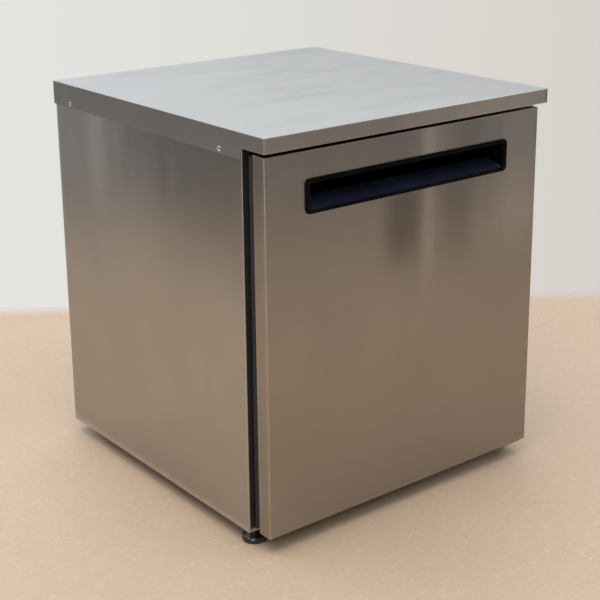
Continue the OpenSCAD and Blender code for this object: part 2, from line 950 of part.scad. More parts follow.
module door_handle() {
    color("black")
        difference() {
            union() {
                translate([0, door_front_y, (rim_top_z + rim_bottom_z) / 2])
                    rotate([90, 0, 0])
                        linear_extrude(height = rim_proud)
                            round_rect(handle_w, handle_h, rim_corner);
                intersection() {
                    extrude_x(2 * pocket_x + 5)
                        tub_outline(0);
                    block([-side_x, door_front_y - 0.5, 0], [side_x, back_y, overall_h]);
                }
            }
            extrude_x(2 * pocket_x)
                polygon([
                    [rim_y - 1, pocket_low_z - 1],
                    [door_front_y, pocket_low_z],
                    [pocket_back_y, pocket_low_z + pocket_rise],
                    [pocket_back_y, pocket_roof_z],
                    [door_front_y + 1, pocket_roof_z],
                    [door_front_y + 1, pocket_high_z],
                    [rim_y - 1, pocket_high_z]
                ]);
        }
}

module door_gasket() {
    outer_x = door_x - seal_inset;
    outer_z = [door_bottom_z + seal_inset, door_top_z - seal_inset];
    grow = [1, -1];
    color("dimgray")
        difference() {
            union() {
                frame_ring(outer_x - 5, outer_z + 5 * grow, outer_x - seal_w + 2, outer_z + (seal_w - 2) * grow,
                    [seal_base_y, seal_base_y + 6]);
                frame_ring(outer_x - 3, outer_z + 3 * grow, outer_x - seal_w + 4, outer_z + (seal_w - 4) * grow,
                    [seal_base_y + 5, seal_face_y - 5]);
                frame_ring(outer_x, outer_z, outer_x - seal_w, outer_z + seal_w * grow,
                    [seal_face_y - 6, seal_face_y]);
            }
            frame_ring(outer_x - 3, outer_z + 3 * grow, outer_x - seal_w - 1, outer_z + (seal_w + 1) * grow,
                [seal_face_y - 4.5, seal_face_y - 1.2]);
        }
}

// Flexible magnet strips in the seal's four sides
module gasket_magnets() {
    x = [door_x - seal_inset - 3.2, door_x - seal_inset - 14];
    z = [door_bottom_z + seal_inset + 3.2, door_top_z - seal_inset - 3.2];
    y = [seal_face_y - 4.3, seal_face_y - 1.4];
    color("black") {
        for (side = [0, 1])
            mirror([side, 0, 0])
                block([x[1], y[0], z[0]], [x[0], y[1], z[1]]);
        for (low = [z[0], z[1] - 10.8])
            block([-x[1] + 0.5, y[0], low], [x[1] - 0.5, y[1], low + 10.8]);
    }
}

// ---- cooling unit ----

module condensing_unit_base() {
    color("darkgray")
        difference() {
            union() {
                block([-292, 140, pan_top_z], [288, 350, unit_base_z]);
                for (x = [-292, 286])
                    block([x, 140, pan_top_z], [x + 2, 350, unit_base_z + 12]);
            }
            for (x = [-mount_x, mount_x], y = [-mount_y, mount_y])
                translate([compressor_x + x, compressor_y + y, pan_top_z - 1])
                    cylinder(h = 5, r = 4.2);
            for (p = legs)
                translate([p.x, p.y, pan_top_z - 1])
                    socket_outline(0.4);
        }
}

module compressor() {
    low = compressor_z[0];
    color("black")
        difference() {
            union() {
                translate([compressor_x, compressor_y, low])
                    rotate_extrude()
                        round_profile(compressor_r - 1.5, compressor_z[1] - low, 32);
                translate([compressor_x, compressor_y, low + 62])
                    cylinder(h = 10, r = compressor_r);
                translate([compressor_x, compressor_y, port_z - 8])
                    cylinder(h = 16, r = compressor_r);
                block([compressor_x - 95, compressor_y - 75, low - 3], [compressor_x + 95, compressor_y + 75, low + 1]);
            }
            for (x = [-mount_x, mount_x], y = [-mount_y, mount_y])
                translate([compressor_x + x, compressor_y + y, low - 4])
                    cylinder(h = 6, r = 9);
        }
}

module compressor_mounts() {
    color("dimgray")
        for (x = [-mount_x, mount_x], y = [-mount_y, mount_y])
            translate([compressor_x + x, compressor_y + y, unit_base_z])
                difference() {
                    union() {
                        cylinder(h = 44 - unit_base_z, r = 12);
                        cylinder(h = 49 - unit_base_z, r = 8.8);
                        translate([0, 0, 48 - unit_base_z])
                            cylinder(h = 3, r = 10.5);
                    }
                    translate([0, 0, -1])
                        cylinder(h = 30, r = 4.2);
                }
}

module compressor_bolts() {
    color("silver")
        for (x = [-mount_x, mount_x], y = [-mount_y, mount_y])
            translate([compressor_x + x, compressor_y + y, pan_top_z]) {
                cylinder(h = 51 - pan_top_z, r = 4);
                translate([0, 0, 51 - pan_top_z])
                    cylinder(h = 6, r = 7.5, $fn = 6);
            }
}

module compressor_relay_box() {
    color("black")
        difference() {
            block([96, 295, 92], [164, 344, 164]);
            translate([compressor_x, compressor_y, 80])
                cylinder(h = 100, r = compressor_r + 0.3);
        }
}

module condenser_coil() {
    color("dimgray") {
        block([coil_x[0], coil_y[0] + 2, coil_low_z], [coil_x[1], coil_y[1] - 2, coil_top_z]);
        for (y = [coil_y[0], coil_y[1] - 2])
            block([coil_x[0], y, unit_base_z], [coil_x[1], y + 2, coil_top_z]);
        for (x = [-276, -249], i = [0 : 3]) {
            translate([x, coil_y[1], 72 + 50 * i])
                rotate([0, -90, 0])
                    mirror([0, 0, 1])
                        return_bend(12, 4);
            translate([x, coil_y[0], 97 + 44 * i])
                rotate([0, -90, 180])
                    return_bend(12, 4);
        }
    }
}

module condenser_fan_shroud() {
    plate_x = coil_x[1];
    color("dimgray")
        difference() {
            union() {
                block([plate_x, coil_y[0], unit_base_z], [plate_x + 1.5, coil_y[1], 240]);
                rod_x(condenser_fan_y, condenser_fan_z, [plate_x, plate_x + 28], shroud_r + 2);
            }
            rod_x(condenser_fan_y, condenser_fan_z, [plate_x - 1, plate_x + 30], shroud_r);
            rod_x(322, liquid_z, [plate_x - 1, plate_x + 5], liquid_r + 0.6);
        }
}

module condenser_fan_motor() {
    color("dimgray") {
        rod_x(condenser_fan_y, condenser_fan_z, [-185, -120], 36);
        rod_x(condenser_fan_y, condenser_fan_z, [-222, -184], 4);
        block([-165, 228, unit_base_z + 1], [-140, 252, 120]);
        block([-175, 205, unit_base_z], [-130, 275, unit_base_z + 3]);
    }
}

module condenser_fan_blade() {
    color("black")
        translate([-194, condenser_fan_y, condenser_fan_z])
            rotate([0, -90, 0])
                fan_rotor(4, 20, condenser_fan_r, 26, 34, 4 + running_fit, 29);
}

module filter_drier() {
    color("peru")
        translate([-75, 322, liquid_z])
            rotate([0, 90, 0])
                rotate_extrude()
                    round_profile(10, 90, 4);
}

module suction_line() {
    color("peru")
        pipe_run(suction_path, suction_r, pipe_bend);
}

module discharge_line() {
    color("peru")
        pipe_run(discharge_path, discharge_r, pipe_bend);
}

module liquid_line() {
    color("peru") {
        pipe_run(liquid_path_low, liquid_r, pipe_bend);
        pipe_run(liquid_path_high, liquid_r, pipe_bend);
    }
}

module condensate_pan() {
    color("black")
        difference() {
            block([-295, 146, coil_top_z], [-100, 345, coil_top_z + 26]);
            block([-293, 148, coil_top_z + 2], [-102, 343, coil_top_z + 30]);
        }
}

module electrical_box() {
    t = 1.5;
    color("darkgray")
        difference() {
            block([box_x[0], box_y[0], box_z[0]], [box_x[1], box_y[1], box_z[1]]);
            block([box_x[0] + t, box_y[0] + t, box_z[0] + t], [box_x[1] - t, box_y[1] - t, box_z[1] - t]);
            block([inlet_x - 24, box_y[1] - 5, inlet_z - 12], [inlet_x + 24, box_y[1] + 1, inlet_z + 12]);
        }
}

module power_inlet() {
    color("black")
        difference() {
            union() {
                block([inlet_x - 23.7, 336, inlet_z - 11.7], [inlet_x + 23.7, cabinet_back_y + 1, inlet_z + 11.7]);
                translate([inlet_x, cabinet_back_y + sheet + 2, inlet_z])
                    rotate([90, 0, 0])
                        linear_extrude(height = 2)
                            round_rect(58, 34, 5);
            }
            difference() {
                block([inlet_x - 20, 340, inlet_z - 8], [inlet_x + 20, cabinet_back_y + 5, inlet_z + 8]);
                for (x = [-10, 0, 10])
                    block([inlet_x + x - 1, 338, inlet_z - 2], [inlet_x + x + 1, 354, inlet_z + 3]);
            }
        }
}

// A slot under a small hood that sheds water
module louvre(x, z, w) {
    translate([x, cabinet_back_y + sheet, z])
        rotate([90, 0, 90])
            linear_extrude(height = w)
                polygon([[-0.1, 0], [3.6, 0], [-0.1, 8]]);
}

module rear_cover() {
    color("darkgray")
        difference() {
            union() {
                block([-338, cabinet_back_y, base_z + 2], [338, cabinet_back_y + sheet, compartment_z + 1]);
                for (x = [-300, -160, -20, 120], z = [60 : 22 : 290])
                    louvre(x, z, 110);
            }
            for (x = [-300, -160, -20, 120], z = [60 : 22 : 290])
                translate([1.5, -1, 0])
                    louvre_gap(x, z, 107);
            block([inlet_x - 24, cabinet_back_y - 1, inlet_z - 12],
                [inlet_x + 24, cabinet_back_y + 2, inlet_z + 12]);
            for (p = rear_screws)
                rod_y(p.x, p.y, [cabinet_back_y - 1, cabinet_back_y + 2], 2.2);
        }
}

// The space inside a louvre's hood, open to the machine compartment and downwards
module louvre_gap(x, z, w) {
    translate([x, cabinet_back_y + sheet, z])
        rotate([90, 0, 90])
            linear_extrude(height = w)
                polygon([[-1, -0.1], [3.2, -0.1], [0.2, 6.4], [-1, 6.4]]);
}

module rear_cover_screws() {
    color("silver")
        for (p = rear_screws)
            translate([p.x, cabinet_back_y + sheet, p.y])
                rotate([-90, 0, 0])
                    pan_screw(4.2, 2, 2, 10);
}

// ---- feet ----

// Space taken by a socket that stands on the base pan
module socket_outline(margin) {
    cylinder(h = 33 + margin, r = socket_r + margin);
    cylinder(h = 3 + margin, r = socket_flange_r + margin);
}

module leg_sockets() {
    color("silver")
        for (p = legs)
            translate([p.x, p.y, pan_top_z])
                difference() {
                    union() {
                        cylinder(h = 32, r = socket_r);
                        cylinder(h = 2, r = socket_flange_r);
                    }
                    translate([0, 0, -1])
                        cylinder(h = 31, r = stem_r + running_fit);
                }
}

// A levelling foot: round pad, sloping shoulder, hexagon and stem
module leg(p) {
    color("black")
        translate([p.x, p.y, 0]) {
            rotate_extrude()
                round_profile(pad_r, 12, 2.5);
            translate([0, 0, 11])
                cylinder(h = 9, r1 = pad_r - 5, r2 = 12);
            translate([0, 0, 19])
                cylinder(h = 8.4, r = 11, $fn = 6);
            translate([0, 0, 20])
                cylinder(h = 37, r = stem_r);
        }
}

module leg_front_left() {
    leg(legs[0]);
}

module leg_front_right() {
    leg(legs[1]);
}

module leg_rear_left() {
    leg(legs[2]);
}

module leg_rear_right() {
    leg(legs[3]);
}

worktop();
worktop_core();
worktop_screws();
side_panel_left();
side_panel_right();
rear_panel();
cabinet_top_panel();
base_pan();
front_frame();
breaker_frame();
foam_insulation();
inner_liner();
machine_compartment_wall();
shelf_pilasters();
pilaster_screws();
shelf_clips();
wire_shelf_upper();
wire_shelf_lower();
evaporator_housing();
evaporator_coil();
evaporator_fan_motor();
evaporator_fan_blade();
evaporator_fan_guard();
drain_tube();
thermostat_body();
thermostat_knob();
hinge_bracket_top();
hinge_bracket_bottom();
hinge_screws();
condensing_unit_base();
compressor();
compressor_mounts();
compressor_bolts();
compressor_relay_box();
condenser_coil();
condenser_fan_shroud();
condenser_fan_motor();
condenser_fan_blade();
filter_drier();
suction_line();
discharge_line();
liquid_line();
condensate_pan();
electrical_box();
power_inlet();
rear_cover();
rear_cover_screws();
leg_sockets();
leg_front_left();
leg_front_right();
leg_rear_left();
leg_rear_right();
door_skin();
door_foam();
door_liner();
door_handle();
door_gasket();
gasket_magnets();
hinge_bush_top();
hinge_bush_bottom();
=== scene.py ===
"""Looks of a one-door under-counter refrigerator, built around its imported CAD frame.

Every length is in metres. The origin lies on the floor at the middle of the footprint,
the door faces -Y, +X is to its right and +Z is up.
"""

import math

import bmesh
import bpy
from mathutils import Matrix, Vector, noise


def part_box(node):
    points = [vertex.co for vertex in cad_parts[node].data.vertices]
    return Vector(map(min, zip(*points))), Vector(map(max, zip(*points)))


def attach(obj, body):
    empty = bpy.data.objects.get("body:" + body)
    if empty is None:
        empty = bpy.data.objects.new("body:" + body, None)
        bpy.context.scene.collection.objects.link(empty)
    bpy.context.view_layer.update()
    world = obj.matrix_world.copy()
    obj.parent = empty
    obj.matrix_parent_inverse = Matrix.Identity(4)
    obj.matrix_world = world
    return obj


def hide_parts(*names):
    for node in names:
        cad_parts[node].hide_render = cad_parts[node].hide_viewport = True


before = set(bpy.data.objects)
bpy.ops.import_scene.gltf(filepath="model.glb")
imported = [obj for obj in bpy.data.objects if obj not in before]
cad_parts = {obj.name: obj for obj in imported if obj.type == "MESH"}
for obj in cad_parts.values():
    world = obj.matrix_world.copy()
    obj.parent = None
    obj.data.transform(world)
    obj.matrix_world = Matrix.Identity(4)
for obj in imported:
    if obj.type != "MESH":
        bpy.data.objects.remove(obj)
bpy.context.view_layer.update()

MM = 0.001


# ---- meshes ----


def steps(start, end, size, *through):
    """Values from start to end about size apart, one of them at each value of through."""
    stops = sorted({start, end, *through})
    values = [stops[0]]
    for low, high in zip(stops, stops[1:]):
        count = max(1, round((high - low) / size))
        values += [low + (high - low) * (i + 1) / count for i in range(count)]
    return values


def grid(bm, us, vs, place, keep=lambda u, v: True):
    """Adds quads between the lines us and vs.

    place(u, v) is a corner's point, and keep tells which cells stay.
    """
    corners = [[bm.verts.new(place(u, v)) for v in vs] for u in us]
    for i in range(len(us) - 1):
        for j in range(len(vs) - 1):
            if keep((us[i] + us[i + 1]) / 2, (vs[j] + vs[j + 1]) / 2):
                near, far = corners[i], corners[i + 1]
                bm.faces.new((near[j], far[j], far[j + 1], near[j + 1]))


def loft(bm, loops, closed=True):
    """Joins loops of the same length, one after another, by quads."""
    rings = [[bm.verts.new(p) for p in loop] for loop in loops]
    count = len(rings[0])
    for a, b in zip(rings, rings[1:]):
        for i in range(count if closed else count - 1):
            k = (i + 1) % count
            bm.faces.new((a[i], a[k], b[k], b[i]))
    return rings


def add_block(bm, low, high):
    """Adds a box between two corners."""
    low, high = Vector(low), Vector(high)
    size = Matrix.Diagonal((*(high - low), 1))
    bmesh.ops.create_cube(bm, size=1, matrix=Matrix.Translation((low + high) / 2) @ size)


def weld(bm, inside):
    """Joins the patches of a sheet and turns its faces away from a point inside it."""
    bmesh.ops.remove_doubles(bm, verts=bm.verts, dist=0.02 * MM)
    bmesh.ops.delete(bm, geom=[v for v in bm.verts if not v.link_faces], context="VERTS")
    bmesh.ops.recalc_face_normals(bm, faces=bm.faces)
    inside = Vector(inside)
    outward = 0
    for f in bm.faces:
        away = (f.calc_center_median() - inside).normalized()
        outward += f.calc_area() * f.normal.dot(away)
    if outward < 0:
        bmesh.ops.reverse_faces(bm, faces=bm.faces)


def piece(name, bm, material, body, *nodes, slot=None, smooth=True):
    """Makes an object of the mesh. It rides on a CAD body and stands for the CAD nodes named."""
    mesh = bpy.data.meshes.new(name)
    bm.to_mesh(mesh)
    bm.free()
    obj = bpy.data.objects.new(name, mesh)
    bpy.context.scene.collection.objects.link(obj)
    for m in material if isinstance(material, (list, tuple)) else [material]:
        mesh.materials.append(m)
    mesh.shade_smooth() if smooth else mesh.shade_flat()
    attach(obj, body)
    if nodes:
        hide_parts(*nodes)
    return obj


def bevel(obj, width, segments=3, angle=35, material=-1):
    """Rounds the edges that bend by more than angle degrees. material is the round faces' slot."""
    m = obj.modifiers.new("edges", "BEVEL")
    m.material = material
    m.width, m.segments = width, segments
    m.limit_method, m.angle_limit = "ANGLE", math.radians(angle)
    m.harden_normals = True
    return obj


def thicken(obj, thickness):
    """Gives a sheet its thickness, inwards, and eases its cut edges."""
    m = obj.modifiers.new("sheet", "SOLIDIFY")
    m.thickness, m.offset, m.use_even_offset = thickness, -1, True
    return bevel(obj, 0.12 * MM, 1, 60)


def wave(a, b, size, depth, seed):
    """A smooth hollow between 0 and depth, as in thin sheet that isn't quite flat."""
    return depth * (0.5 + 0.5 * noise.noise(Vector((a / size, b / size, seed))))


def calm(edge, reach):
    """0 at a fold and 1 away from it, where edge is the distance to the fold."""
    return min(1, max(0, edge) / reach) ** 2


def hump(distance):
    """1 at distance 0, falling smoothly to 0 at 1."""
    return (1 - min(distance, 1) ** 2) ** 2


def arc(count, span=math.pi / 2):
    """Angles from 0 to span, in count equal steps."""
    return [span * i / count for i in range(count + 1)]


def circle(count):
    """Angles all the way round, in count equal steps."""
    return arc(count, 2 * math.pi)[:-1]


def rounded_rectangle(half_w, half_h, radius, segments=8):
    """Points of a rectangle with round corners, as (across, up) pairs."""
    points = []
    for quarter, (sx, sy) in enumerate(((1, 1), (-1, 1), (-1, -1), (1, -1))):
        for i in range(segments + 1):
            a = math.pi / 2 * (quarter + i / segments)
            across = sx * (half_w - radius) + radius * math.cos(a)
            up = sy * (half_h - radius) + radius * math.sin(a)
            points.append((across, up))
    return points


def middle_of(node):
    low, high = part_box(node)
    return (low + high) / 2


# ---- materials ----


def rgba(colour):
    """The four values of a colour, or the socket that gives it."""
    return (*colour, 1) if isinstance(colour, tuple) else colour


def scaled(colour, factor, lift=0.0):
    """A darker or lighter colour, no brighter than white."""
    return tuple(min(1, factor * c + lift) for c in colour)


class Graph:
    """A tree of shader nodes that are added one by one."""

    def __init__(self, tree):
        self.tree = tree

    def node(self, kind, links=None, **settings):
        """Adds a node. Each of its links is a socket to join or a value to set."""
        made = self.tree.nodes.new(kind)
        for key, value in settings.items():
            setattr(made, key, value)
        for socket, value in (links or {}).items():
            if isinstance(value, bpy.types.NodeSocket):
                self.tree.links.new(value, made.inputs[socket])
            else:
                made.inputs[socket].default_value = value
        return made

    def between(self, value, low, high, to_low=0.0, to_high=1.0, curve="LINEAR"):
        """Maps value from low..high to to_low..to_high."""
        links = {"Value": value, "From Min": low, "From Max": high, "To Min": to_low, "To Max": to_high}
        return self.node("ShaderNodeMapRange", links, interpolation_type=curve).outputs["Result"]

    def fade(self, value, none, full, top=1.0):
        """Rises smoothly from 0 where value is none to top where it is full."""
        return self.between(value, none, full, 0.0, top, "SMOOTHSTEP")

    def math(self, operation, a, b=0.0):
        return self.node("ShaderNodeMath", {0: a, 1: b}, operation=operation).outputs["Value"]

    def dot(self, a, b):
        return self.node("ShaderNodeVectorMath", {0: a, 1: b}, operation="DOT_PRODUCT").outputs["Value"]

    def mix(self, factor, a, b, blend="MIX"):
        links = {0: factor, 6: rgba(a), 7: rgba(b)}
        return self.node("ShaderNodeMix", links, data_type="RGBA", blend_type=blend).outputs[2]


SOCKETS = {
    "base_color": "Base Color", "roughness": "Roughness", "metallic": "Metallic", "ior": "IOR",
    "anisotropic": "Anisotropic", "coat_weight": "Coat Weight", "coat_roughness": "Coat Roughness",
    "alpha": "Alpha",
}


class Paint(Graph):
    """A material. What is named after its name goes straight into the shader's sockets."""

    def __init__(self, name, **sockets):
        self.material = bpy.data.materials.new(name)
        self.material.use_nodes = True
        super().__init__(self.material.node_tree)
        self.shader = self.tree.nodes["Principled BSDF"]
        for socket, value in sockets.items():
            self.shader.inputs[SOCKETS[socket]].default_value = value

    def here(self):
        """Coordinates of the surface in metres."""
        return self.node("ShaderNodeTexCoord").outputs["Object"]

    def place(self, size, stretch):
        """Coordinates in grains that are about size metres long, and stretched along each axis."""
        scale = [1 / (size * s) for s in stretch]
        return self.node("ShaderNodeMapping", {"Vector": self.here(), "Scale": scale}).outputs["Vector"]

    def noise(self, size, stretch=(1, 1, 1), detail=3):
        links = {"Vector": self.place(size, stretch), "Scale": 1.0, "Detail": detail, "Roughness": 0.55}
        return self.node("ShaderNodeTexNoise", links).outputs["Fac"]

    def cells(self, size, feature="F1", output="Distance", stretch=(1, 1, 1)):
        links = {"Vector": self.place(size, stretch), "Scale": 1.0}
        return self.node("ShaderNodeTexVoronoi", links, feature=feature).outputs[output]

    def cell_shade(self, size):
        """An even grey for each cell."""
        links = {"Color": self.cells(size, output="Color")}
        return self.node("ShaderNodeSeparateColor", links).outputs[0]

    def edges(self, low=0.505, high=0.56):
        """1 on sharp outer edges, 0 on flat ground: worn edges on plastic and paint, painted edge highlights
        on steel.
        """
        return self.between(self.node("ShaderNodeNewGeometry").outputs["Pointiness"], low, high)

    def bump(self, *layers):
        """Each layer is (height, depth in metres)."""
        normal = None
        for height, depth in layers:
            links = {"Height": height, "Strength": 1.0, "Distance": depth}
            if normal:
                links["Normal"] = normal
            normal = self.node("ShaderNodeBump", links).outputs["Normal"]
        self.tree.links.new(normal, self.shader.inputs["Normal"])

    def wire(self, **sockets):
        for socket, value in sockets.items():
            self.tree.links.new(value, self.shader.inputs[SOCKETS[socket]])


def brushed_steel(name, flat=False, tint=(0.44, 0.425, 0.41), painted_edge_highlight=0.3, painted_reflections=()):
    """Stainless sheet with its grain along X and Y, or along X only on a flat top.

    A painted reflection is an upright band, lighter or darker than the sheet round it, that
    stands in for a streak of the room's reflection: its axis, its middle and half width, the
    heights where it starts, is full, thins and ends, and how much lighter it is.
    """
    p = Paint(name, metallic=1.0, anisotropic=0.85, ior=2.5)
    long, fine = 0.06, 0.35 * MM
    grain_shape = (long, fine, long) if flat else (long, long, fine)
    grain = p.noise(1.0, grain_shape, detail=2)
    coarse = p.noise(1.0, [4 * s for s in grain_shape], detail=2)
    cloud = p.noise(0.16, detail=4)
    smear = p.noise(0.05, (3, 1, 1) if flat else (1, 1, 5), detail=5)
    scratch = p.cells(0.03, "DISTANCE_TO_EDGE", stretch=(1.4, 0.7, 1) if flat else (1, 1, 0.6))
    line = p.math("MULTIPLY", p.between(scratch, 0.0, 0.006, 1.0, 0.0), p.between(cloud, 0.55, 0.7))
    tone = p.mix(p.between(grain, 0.3, 0.7), scaled(tint, 0.95), scaled(tint, 1.05))
    tone = p.mix(p.between(cloud, 0.35, 0.7, 0.0, 0.35), tone, scaled(tint, 0.86))
    # Each band paints a reflection streak into the steel's colour, lighter or darker than the sheet
    for axis, middle, half_width, (start, full, thins, end), gain in painted_reflections:
        place = p.node("ShaderNodeSeparateXYZ", {"Vector": p.here()}).outputs
        sway = 0.15 * half_width
        across = p.math("ADD", place[axis], p.between(smear, 0.3, 0.7, -sway, sway))
        away = p.math("ABSOLUTE", p.math("SUBTRACT", across, middle))
        amount = p.fade(away, half_width, 0.0)
        amount = p.math("MULTIPLY", amount, p.fade(place["Z"], start, full))
        amount = p.math("MULTIPLY", amount, p.fade(place["Z"], end, thins))
        tone = p.mix(amount, tone, (1 + gain,) * 3, "MULTIPLY")
    # Paler sharp edges: a painted highlight along the folds and cut edges
    tone = p.mix(p.math("MULTIPLY", p.edges(), painted_edge_highlight), tone, (0.8, 0.79, 0.77))
    rough = p.between(coarse, 0.3, 0.7, 0.31, 0.37)
    rough = p.math("ADD", rough, p.between(smear, 0.5, 0.75, 0.0, 0.06))
    rough = p.math("ADD", rough, p.math("MULTIPLY", line, 0.08))
    p.wire(base_color=tone, roughness=rough)
    p.bump((grain, 0.004 * MM), (coarse, 0.006 * MM))
    tangent = p.node("ShaderNodeTangent", direction_type="RADIAL", axis="Y" if flat else "Z")
    p.tree.links.new(tangent.outputs["Tangent"], p.shader.inputs["Tangent"])
    return p.material


def galvanised(name, tint=(0.50, 0.51, 0.52)):
    """Zinc-coated sheet with its crystal pattern."""
    p = Paint(name, metallic=0.9)
    shade, dull = p.cell_shade(0.012), p.noise(0.09, detail=4)
    tone = p.mix(p.between(shade, 0.0, 1.0, 0.0, 0.55), tint, scaled(tint, 0.72))
    tone = p.mix(p.between(dull, 0.45, 0.75, 0.0, 0.5), tone, (0.36, 0.36, 0.35))
    p.wire(base_color=tone, roughness=p.between(shade, 0.0, 1.0, 0.38, 0.52))
    p.bump((shade, 0.01 * MM))
    return p.material


def moulded(name, tint, roughness=0.35, depth=0.02, spread=0.25, coat=0.0, ior=1.5, worn=0.3, grain=0.6):
    """Moulded plastic with a fine texture, faint flow marks and paler worn edges.

    depth and grain are the texture's depth and size in millimetres.
    """
    p = Paint(name, coat_weight=coat, coat_roughness=0.12, ior=ior)
    fine, flow = p.noise(grain * MM, detail=2), p.noise(0.05, (1, 1, 3))
    tone = p.mix(p.between(flow, 0.35, 0.7), tint, scaled(tint, 1 + spread, 0.004))
    tone = p.mix(p.math("MULTIPLY", p.edges(), worn), tone, scaled(tint, 1.6, 0.02))
    p.wire(base_color=tone, roughness=p.between(flow, 0.3, 0.7, roughness * 0.85, roughness * 1.2))
    p.bump((fine, depth * MM))
    return p.material


def painted(name, tint, roughness=0.3, metallic=0.0):
    """Sprayed paint with orange peel and some dust."""
    p = Paint(name, metallic=metallic)
    peel, dust = p.noise(0.0025, detail=1), p.noise(0.04, detail=5)
    tone = p.mix(p.between(dust, 0.5, 0.75, 0.0, 0.35), tint, scaled(tint, 0.6, 0.05))
    tone = p.mix(p.math("MULTIPLY", p.edges(), 0.4), tone, (0.35, 0.34, 0.33))
    p.wire(base_color=tone, roughness=p.between(dust, 0.4, 0.7, roughness, roughness + 0.2))
    p.bump((peel, 0.05 * MM))
    return p.material


def bare_metal(name, tint, roughness=0.25, stain=(0.3, 0.25, 0.2), amount=0.3):
    """Plain metal such as copper, zinc or aluminium, with tarnish."""
    p = Paint(name, metallic=1.0)
    spots, fine = p.noise(0.02, detail=5), p.noise(0.001, detail=2)
    tone = p.mix(p.between(spots, 0.45, 0.7, 0.0, amount), tint, stain)
    p.wire(base_color=tone, roughness=p.between(spots, 0.35, 0.7, roughness, roughness + 0.18))
    p.bump((fine, 0.01 * MM))
    return p.material


def rubber(name, tint):
    """Matt rubber with some dust."""
    p = Paint(name)
    fine, dust = p.noise(0.0008, detail=2), p.noise(0.03, (1, 1, 4), detail=5)
    tone = p.mix(p.between(dust, 0.45, 0.75, 0.0, 0.5), tint, scaled(tint, 1.5, 0.012))
    p.wire(base_color=tone, roughness=p.between(dust, 0.3, 0.7, 0.42, 0.6))
    p.bump((fine, 0.03 * MM))
    return p.material


def foam(name):
    """Cut polyurethane foam with its cells."""
    p = Paint(name)
    cell, cloud = p.cells(0.0012), p.noise(0.05, detail=4)
    tone = p.mix(p.between(cloud, 0.3, 0.7), (0.72, 0.60, 0.33), (0.82, 0.72, 0.46))
    tone = p.mix(p.between(cell, 0.0, 0.7, 0.4, 0.0), tone, (0.5, 0.38, 0.18))
    p.wire(base_color=tone, roughness=p.between(cloud, 0.3, 0.7, 0.8, 0.95))
    p.bump((cell, 0.3 * MM))
    return p.material


def board(name):
    """Composite board with its long fibres."""
    p = Paint(name)
    fibre, cloud = p.noise(0.004, (6, 1, 1), detail=5), p.noise(0.06, detail=3)
    tone = p.mix(p.between(fibre, 0.3, 0.7), (0.36, 0.23, 0.12), (0.55, 0.39, 0.22))
    p.wire(base_color=tone, roughness=p.between(cloud, 0.3, 0.7, 0.6, 0.8))
    p.bump((fibre, 0.1 * MM))
    return p.material


def embossed_aluminium(name):
    """Liner sheet with a pebbled surface."""
    p = Paint(name, metallic=0.85)
    pebble, cloud = p.cells(0.004, "SMOOTH_F1"), p.noise(0.1, detail=4)
    tone = p.mix(p.between(cloud, 0.35, 0.7), (0.74, 0.75, 0.76), (0.64, 0.65, 0.66))
    p.wire(base_color=tone, roughness=p.between(cloud, 0.3, 0.7, 0.33, 0.45))
    p.bump((pebble, 0.12 * MM))
    return p.material


# Heights below and above the object, for painted reflection bands that don't thin out there
FROM_BELOW = -0.2, -0.1
TO_TOP = 0.9, 1.0
# Painted reflections: streaks lighter or darker than the steel, standing in for the room's reflections
SIDE_PAINTED_REFLECTIONS = [
    ("Y", 0.20, 0.06, (0.50, 0.66, *TO_TOP), 0.25),
    ("Y", 0.27, 0.26, (0.50, 0.72, *TO_TOP), 0.30),
    ("Y", -0.22, 0.40, (0.42, 0.66, *TO_TOP), -0.32),
]
DOOR_PAINTED_REFLECTIONS = [
    ("X", 0.042, 0.030, (0.40, 0.54, *TO_TOP), 0.30),
    ("X", -0.020, 0.080, (0.44, 0.56, 0.60, 0.69), -0.42),
    ("X", 0.120, 0.070, (0.42, 0.55, 0.60, 0.70), -0.20),
    ("X", 0.300, 0.170, (0.42, 0.56, *TO_TOP), 0.38),
    ("X", 0.060, 0.080, (0.62, 0.70, *TO_TOP), 0.25),
]
NOSING_PAINTED_REFLECTIONS = [
    ("X", 0.25, 0.40, (*FROM_BELOW, *TO_TOP), 0.35),
    ("X", 0.345, 0.013, (*FROM_BELOW, *TO_TOP), -0.5),
]
TOP_PAINTED_REFLECTIONS = [("X", 0.40, 0.75, (*FROM_BELOW, *TO_TOP), -0.20)]
# The door, nosing and top are one steel with tints of their own: painted light and shade, darker on the door
# and lighter on the nosing and the top
DOOR_PAINTED_SHADE_TINT = (0.345, 0.320, 0.298)
NOSING_PAINTED_LIGHT_TINT = (0.46, 0.41, 0.37)
PAINTED_SHADE_TINT = (0.03, 0.028, 0.026)
TOP_PAINTED_LIGHT_TINT = (0.57, 0.57, 0.565)

steel = brushed_steel("brushed_stainless_upright", painted_edge_highlight=0.03)
side_steel = brushed_steel("brushed_stainless_side", painted_reflections=SIDE_PAINTED_REFLECTIONS)
door_steel = brushed_steel("brushed_stainless_door", tint=DOOR_PAINTED_SHADE_TINT, painted_reflections=DOOR_PAINTED_REFLECTIONS)
nosing_steel = brushed_steel(
    "brushed_stainless_nosing", tint=NOSING_PAINTED_LIGHT_TINT, painted_edge_highlight=0.15, painted_reflections=NOSING_PAINTED_REFLECTIONS
)
